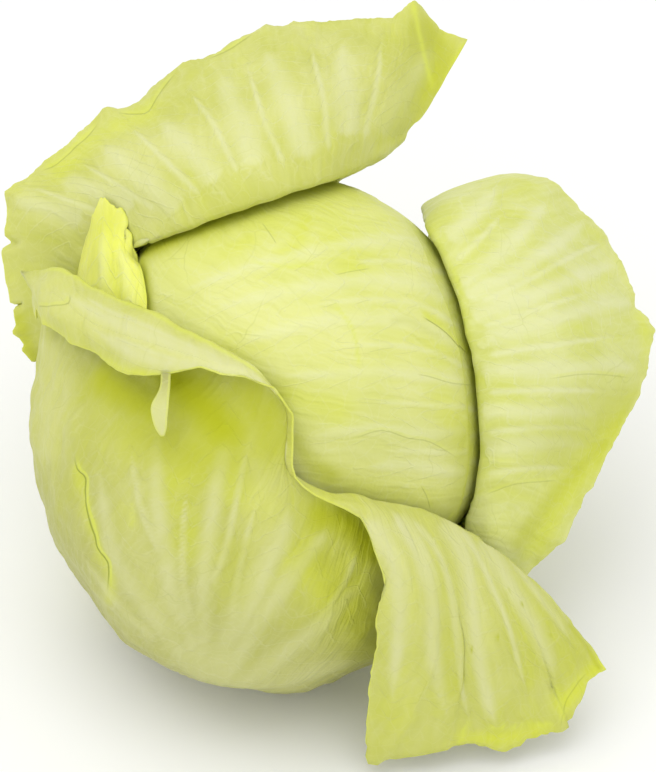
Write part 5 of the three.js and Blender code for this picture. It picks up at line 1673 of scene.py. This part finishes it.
# The part of the right leaf outside its fold: its inner face shows.
RIGHT_SPREAD = Patch(-1, (
    ribs(3.8, 2.4, ((446, 244), (468, 222), (485, 205), (500, 186)),
         ((460, 285), (471, 278), (510, 245), (535, 217), (550, 196)),
         ((466, 300), (479, 288), (520, 270), (567, 236), (592, 215)),
         ((470, 318), (485, 311), (535, 295), (590, 272), (625, 262)),
         ((476, 340), (538, 325), (606, 303), (640, 305)),
         ((480, 375), (498, 371), (567, 368), (614, 365), (645, 374)),
         ((482, 412), (500, 410), (560, 411), (605, 416)),
         ((484, 452), (507, 447), (560, 442), (596, 448))),
    ribs(1.5, 0.9, ((455, 262), (482, 238), (505, 212)), ((475, 305), (520, 284), (575, 255), (610, 240)),
         ((480, 328), (530, 312), (600, 288)), ((484, 356), (545, 346), (625, 335)),
         ((484, 393), (545, 390), (630, 392)), ((484, 432), (540, 427), (600, 430)),
         ((484, 474), (530, 468), (575, 468))),
    paler(10.0, 0.6, ((500, 300), (540, 330), (560, 370))),
    # Painted light: the yellow glow where light shines through the leaf.
    yellower(7.0, 0.85, ((622, 425), (590, 460), (560, 500), (535, 545))),
    yellower(3.0, 0.5, ((620, 255), (640, 310), (648, 350))),
    # Painted shade on the lower right of the spread, turned from the light.
    darker(4.0, 0.45, ((604, 440), (570, 475), (533, 520), (515, 545))),
    darker(14.0, 0.5, ((625, 400), (590, 425), (560, 450))),
    cracks(0.8, 0.3, ((485, 495), (515, 484), (560, 480)), ((548, 379), (590, 374), (632, 378))),
    # Painted highlights along a crest and along the fold by the head.
    folds(0.8, 0.5, ((530, 533), (565, 520)),
          ((430, 222), (445, 250), (458, 280), (466, 318), (474, 362)))),
    along=(0.53, 1.0))

RIGHT_MARGIN: Stations = (
    (0, 94, -89), (0.1, 96, -87), (0.5, 100, -81), (1, 105, -76), (1.45, 111, -71), (2.3, 118, -57),
    (2.75, 122, -50), (3.3, 127, -39), (3.6, 131, -32), (4.1, 138, -20), (4.4, 143, -12), (4.9, 146, -1),
    (5.2, 146.5, 5), (5.6, 148.5, 15), (5.9, 145, 20.5), (6.1, 141, 24.5), (6.55, 139, 34),
    (6.75, 136.5, 39), (6.95, 135.5, 44), (7.1, 133, 46.5), (7.35, 129.5, 51), (7.65, 127, 56.5),
    (8.05, 121, 62.5), (8.35, 116, 66), (8.75, 109, 74), (9.05, 104, 77), (9.45, 95, 78.5),
    (9.75, 90, 77.5), (10, 86, 75))

# The bright lobe of the inner left leaf: its outer face shows.
INNER_LOBE = Patch(1, (
    ribs(2.6, 1.4, ((112, 320), (106, 280), (105, 215)), ((135, 318), (128, 282), (118, 235))),
    yellower(8.0, 0.9, ((105, 230), (112, 270), (130, 305))),
    # Painted highlight along the lobe's right margin.
    folds(0.9, 0.9, ((104, 196), (122, 206), (132, 233), (138, 260), (145, 290), (147, 312)))),
    along=(0.6, 1.0))

INNER_MARGIN: Stations = (
    (0, -86, 42), (1, -84, 54), (2, -81.5, 64), (2.5, -79, 69.5), (3, -77, 70.5), (3.5, -73.5, 67),
    (4, -70, 66.5), (4.5, -67.5, 61), (5, -68.5, 57.5), (5.3, -66, 55), (5.6, -65.8, 50), (6, -64, 46))

# The wrapper leaf over the head, between the back leaf, the front leaf and the right leaf.
HEAD_TOP = Patch(1, (
    ribs(3.2, 2.2, ((471, 352), (430, 330), (380, 318), (320, 322), (262, 336), (205, 352))),
    ribs(2.4, 1.8, ((474, 385), (424, 376), (380, 372), (320, 374), (262, 378))),
    ribs(2.4, 1.6, ((475, 430), (430, 434), (381, 428), (335, 432), (300, 438))),
    ribs(3.6, 2.2, ((462, 300), (420, 285), (370, 281), (310, 288), (250, 300), (190, 318))),
    ribs(2.8, 1.8, ((436, 250), (400, 241), (350, 246), (290, 258), (220, 278), (160, 300))),
    ribs(2.2, 1.6, ((472, 474), (440, 470), (400, 464), (355, 468))),
    ribs(1.2, 0.8, ((472, 370), (430, 352), (380, 345), (310, 348)), ((475, 408), (420, 404), (360, 400)),
         ((455, 275), (400, 262), (340, 264)), ((475, 452), (430, 452), (370, 448)),
         ((466, 330), (420, 306), (360, 300), (280, 312))),
    yellower(4.0, 0.7, ((249, 241), (226, 252)), ((306, 222), (300, 236)), ((296, 248), (284, 256))),
    yellower(9.0, 0.35, ((180, 262), (230, 235), (290, 212), (350, 200))),
    yellower(7.0, 0.6, ((225, 342), (262, 345)), ((290, 395), (312, 402), (338, 410))),
    yellower(6.0, 0.5, ((415, 335), (442, 352)), ((440, 400), (462, 430)), ((330, 240), (350, 262))),
    paler(17.0, 0.7, ((230, 300), (290, 330), (340, 340))),
    paler(9.0, 0.4, ((380, 290), (400, 340), (410, 400))),
    # Painted shadow under the back leaf's band, painted shade in the crevice by the right leaf, and a painted
    # shadow beside the inner lobe.
    darker(4.6, 0.85, ((146, 252), (200, 228), (250, 206), (300, 189), (345, 178))),
    darker(3.2, 0.9, ((437, 240), (456, 275), (469, 320), (475, 370), (477, 420), (473, 480), (460, 528))),
    darker(1.8, 0.7, ((144, 262), (148, 290), (151, 318))),
    # Painted light that lifts the shade below the front leaf's torn edge, and yellower painted shade there.
    paler(11.0, 0.3, ((310, 452), (350, 468), (430, 484))),
    yellower(8.0, 0.6, ((325, 476), (370, 488), (430, 500))),
    # Painted shade by the front leaf's torn edge, low on the right and along the left flap's crest.
    darker(4.0, 0.5, ((297, 440), (308, 458), (330, 474))),
    darker(8.0, 0.45, ((456, 440), (468, 470), (456, 515))),
    darker(5.0, 0.4, ((180, 345), (230, 360), (280, 395))),
    cracks(0.8, 0.7, ((421, 317), (436, 326), (452, 338), (469, 356))),
    cracks(0.6, 0.35, ((415, 374), (430, 377), (450, 383), (472, 385)),
           ((420, 485), (426, 496), (430, 510)),
           ((350, 440), (380, 430), (408, 438), (430, 442), (460, 460)),
           ((262, 223), (270, 234), (277, 245)), ((334, 276), (352, 272), (370, 269))),
    # Painted shade beside the crack, and a yellow lip along it.
    darker(1.6, 0.25, ((392, 322), (406, 321), (420, 328), (436, 336))),
    yellower(1.6, 0.9, ((424, 315), (440, 325), (456, 337), (470, 352))),
    # Painted highlights along the wrapper's crests.
    folds(0.7, 0.7, ((448, 522), (456, 512)), ((250, 262), (290, 268), (322, 262)),
          ((330, 300), (352, 330), (360, 372)))))

HEAD_FINISH = LeafFinish("head", body=paint(214, 219, 118), pale=paint(227, 229, 150),
                         yellow=paint(213, 219, 80), streak_share=0.35, rib_share=0.4, side_veins=0.2,
                         net_size=9.0, crease_share=0.15)


def torn_strip() -> Leaf:
    """The torn strip that hangs from the front leaf's flap."""
    return Leaf("torn_strip", "leaf_front", STRIP_ROWS, 2, (18, 44), 41, fray=0.0, thickness=1.3,
                billow=0.0, pucker=0.2, frill=0.3, weights=((0, 1), (1, 1)),
                patches=tuple(Patch(face, (ribs(9.0, 9.0, ((163, 350), (162, 410), (161, 470))),))
                              for face in (1, -1)))


def leaf_forms() -> list[tuple[Leaf, LeafFinish]]:
    """The five leaves with their finishes."""
    wrapper = Leaf(
        "cabbage_wrapper_leaf", "wrapper_leaf", WRAPPER_ROWS, 4, (210, 165), 11,
        tree=VeinTree(2.0, 0.5, ((0.02, 0.3), (0.06, 0.9), (0.1, 1.5), (0.04, 3.6), (0.08, 3.0), (0.12, 2.4)),
                      base_width=3.0, branch_width=1.6, tip_width=0.8),
        patches=(HEAD_TOP,), fray=0.02, thickness=1.2, edge_thickness=0.7, hug=Hug.PRESSED, clearance=1.5,
        billow=0.35, pucker=0.16, frill=0.0, rib_height=0.22, furrow=0.25, veins_across=True,
        weights=((0, 0.6), (0.3, 1), (1, 1)))
    inner = Leaf(
        "cabbage_inner_left_leaf", "leaf_left_inner", INNER_ROWS, 6, (90, 150), 17,
        tree=VeinTree(3.0, 0.9, ((0.05, 0.4), (0.12, 1.4), (0.05, 5.6), (0.12, 4.6))),
        patches=(INNER_LOBE,), margin=INNER_MARGIN, margin_from=0.8, fray=0.03, billow=0.5, frill=0.5,
        rib_height=0.4)
    right = Leaf(
        "cabbage_right_leaf", "leaf_right", RIGHT_ROWS, 10, (240, 158), 23,
        tree=VeinTree(5.0, 0.62, ((0.02, 0.4), (0.05, 1.3), (0.09, 2.3), (0.13, 3.3), (0.17, 4.2),
                                  (0.02, 9.6), (0.05, 8.7), (0.09, 7.7), (0.13, 6.7), (0.17, 5.8))),
        patches=(RIGHT_SPREAD,), margin=RIGHT_MARGIN, fray=0.02, floor=2.6, hug=Hug.CLEAR, clearance=3.3)
    back = Leaf(
        "cabbage_back_leaf", "leaf_back", BACK_ROWS, 13, (280, 160), 29,
        tree=VeinTree(6.5, 0.62, ((0.02, 0.4), (0.04, 1.4), (0.06, 2.5), (0.09, 3.6), (0.13, 4.7),
                                  (0.18, 5.7), (0.02, 12.6), (0.04, 11.6), (0.06, 10.5), (0.09, 9.4),
                                  (0.13, 8.3), (0.18, 7.3))),
        patches=(BACK_BAND, BACK_UNDER), margin=BACK_MARGIN, outward=-1, hug=Hug.CLEAR, clearance=5.9)
    front = Leaf(
        "cabbage_front_leaf", "leaf_front", FRONT_ROWS, 19, (296, 162), 37,
        tree=VeinTree(8.6, 0.6, ((0.02, 0.5), (0.04, 1.8), (0.06, 3.1), (0.09, 4.4), (0.13, 5.7), (0.18, 7.1),
                                 (0.02, 18.4), (0.04, 17.0), (0.06, 15.6), (0.09, 14.0), (0.13, 12.4),
                                 (0.18, 10.6))),
        patches=(FRONT_BELLY, FRONT_FLAP, FRONT_HANG), margin=FRONT_MARGIN, margin_from=0.64, billow=1.9,
        pucker=1.15, furrow=0.8)
    return [
        (wrapper, replace(HEAD_FINISH, name="wrapper_leaf", rim_share=0.5)),
        (inner, LeafFinish("inner_left_leaf", body=paint(238, 241, 112), pale=paint(241, 243, 132),
                           yellow=paint(233, 238, 96), rib_share=0.3, streak_share=0.3)),
        (right, LeafFinish("right_leaf", body=paint(207, 212, 116), pale=paint(224, 227, 162),
                           rib_share=0.6, streak_share=0.42)),
        (back, LeafFinish("back_leaf", body=paint(197, 201, 98), pale=paint(214, 216, 138),
                          rib=paint(220, 222, 166), rib_share=0.6, streak_share=0.36)),
        # The front leaf's body is darker than the head's, partly as painted shade on the belly, which faces
        # down, away from the light; its darker base colour is painted shade low on the belly.
        (front, LeafFinish("outer_leaf", body=paint(194, 198, 94), pale=paint(210, 212, 132),
                           rib=paint(214, 215, 158), heart_and_shade=paint(158, 157, 96), base_fade=0.75,
                           side_veins=0.22)),
    ]


@dataclass
class Studio:
    """The pale floor, the soft lights and the camera."""

    floor_size: float = 6.0
    floor_colour: Colour = (0.95, 0.95, 0.94)
    sky: float = 0.84
    key_power: float = 13.5
    lamp_size: float = 1.8
    key_place: Place = (-0.35, -0.3, 1.95)
    fill_power: float = 5.0
    fill_place: Place = (0.5, -1.9, 1.35)
    aim: Place = (0.0, 0.0, 0.09)
    aim_pixel: Pair = (328.0, 386.0)
    focal: float = 170.6
    sensor: float = 36.0
    sight_end: float = 50.0

    def floor(self) -> None:
        """A large plane at the table's height."""
        half = self.floor_size / 2
        data = bpy.data.meshes.new("studio_floor")
        corners = [(-half, -half, 0), (half, -half, 0), (half, half, 0), (-half, half, 0)]
        data.from_pydata(corners, [], [(0, 1, 2, 3)])
        nodes = Nodes(bpy.data.materials.new("studio_floor"))
        data.materials.append(nodes.finish({"Base Color": self.floor_colour, "Roughness": 0.85}))
        plane = bpy.data.objects.new("studio_floor", data)
        bpy.context.scene.collection.objects.link(plane)

    def lamp(self, name: str, place: Place, power: float) -> None:
        """A square soft light at a place, turned to the object."""
        data = bpy.data.lights.new(name, "AREA")
        data.shape = "SQUARE"
        data.size = self.lamp_size
        data.energy = power
        lamp = bpy.data.objects.new(name, data)
        back = unit(np.array(place) - np.array(self.aim))
        right = unit(np.cross([0.0, 0.0, 1.0], back))
        lamp.matrix_world = self.turned(right, np.cross(back, right), back, np.array(place))
        bpy.context.scene.collection.objects.link(lamp)

    def turned(self, right: Array, up: Array, back: Array, place: Array) -> Matrix:
        """The matrix of an object with these axes at a place."""
        matrix = np.eye(4)
        matrix[:3, 0], matrix[:3, 1], matrix[:3, 2], matrix[:3, 3] = right, up, back, place
        return Matrix(matrix.tolist())

    def light(self) -> None:
        """A white surround, a large key light from above and a weaker one from the viewer's side."""
        world = bpy.data.worlds.new("studio_surround")
        bpy.context.scene.world = world
        nodes = Nodes(world)
        white = {"Color": (1.0, 1.0, 1.0), "Strength": self.sky}
        surround = nodes.add("ShaderNodeBackground", sockets=white)
        nodes.add("ShaderNodeOutputWorld", sockets={"Surface": surround.outputs[0]})
        self.lamp("key_light", self.key_place, self.key_power)
        self.lamp("fill_light", self.fill_place, self.fill_power)
        bpy.context.scene.view_settings.view_transform = "Standard"

    def camera(self) -> None:
        """The camera at the photograph's eye, aimed at the pixel in the photograph's middle."""
        data = bpy.data.cameras.new("photo_camera")
        data.lens = self.focal
        data.sensor_width = self.sensor
        data.clip_end = self.sight_end
        target = np.append(PLANT.from_pixels((self.aim_pixel,))[0], 0.0)
        eye = PLANT.to_table(PLANT.viewer) * METRES
        back = unit(eye - PLANT.to_table(target) * METRES)
        sight_up = PLANT.to_table(np.array([0.0, 1.0, 0.0])) - PLANT.to_table(np.zeros(3))
        right = unit(np.cross(sight_up, back))
        camera = bpy.data.objects.new("photo_camera", data)
        camera.matrix_world = self.turned(right, np.cross(back, right), back, eye)
        bpy.context.scene.collection.objects.link(camera)
        bpy.context.scene.camera = camera

    def build(self) -> None:
        """Sets up the whole studio."""
        self.floor()
        self.light()
        self.camera()


def main() -> None:
    """Builds the cabbage piece by piece, then the studio, and writes how large it came out."""
    logging.basicConfig(level=logging.INFO, format="%(message)s")
    head = Head(patches=(HEAD_TOP,))
    head.mesh().piece(head.name, HEAD_FINISH.material(), head.node, "head")
    stump = Stump()
    stump.mesh().piece(stump.name, StumpFinish("stump").material(), stump.node, "stem")
    for leaf, finish in leaf_forms():
        mesh = leaf.mesh()
        if leaf.node == "leaf_front":
            mesh = mesh.joined(torn_strip().mesh())
        mesh.piece(leaf.name, finish.material(), leaf.node, leaf.node)
    Studio().build()


if __name__ == "__main__":
    main()
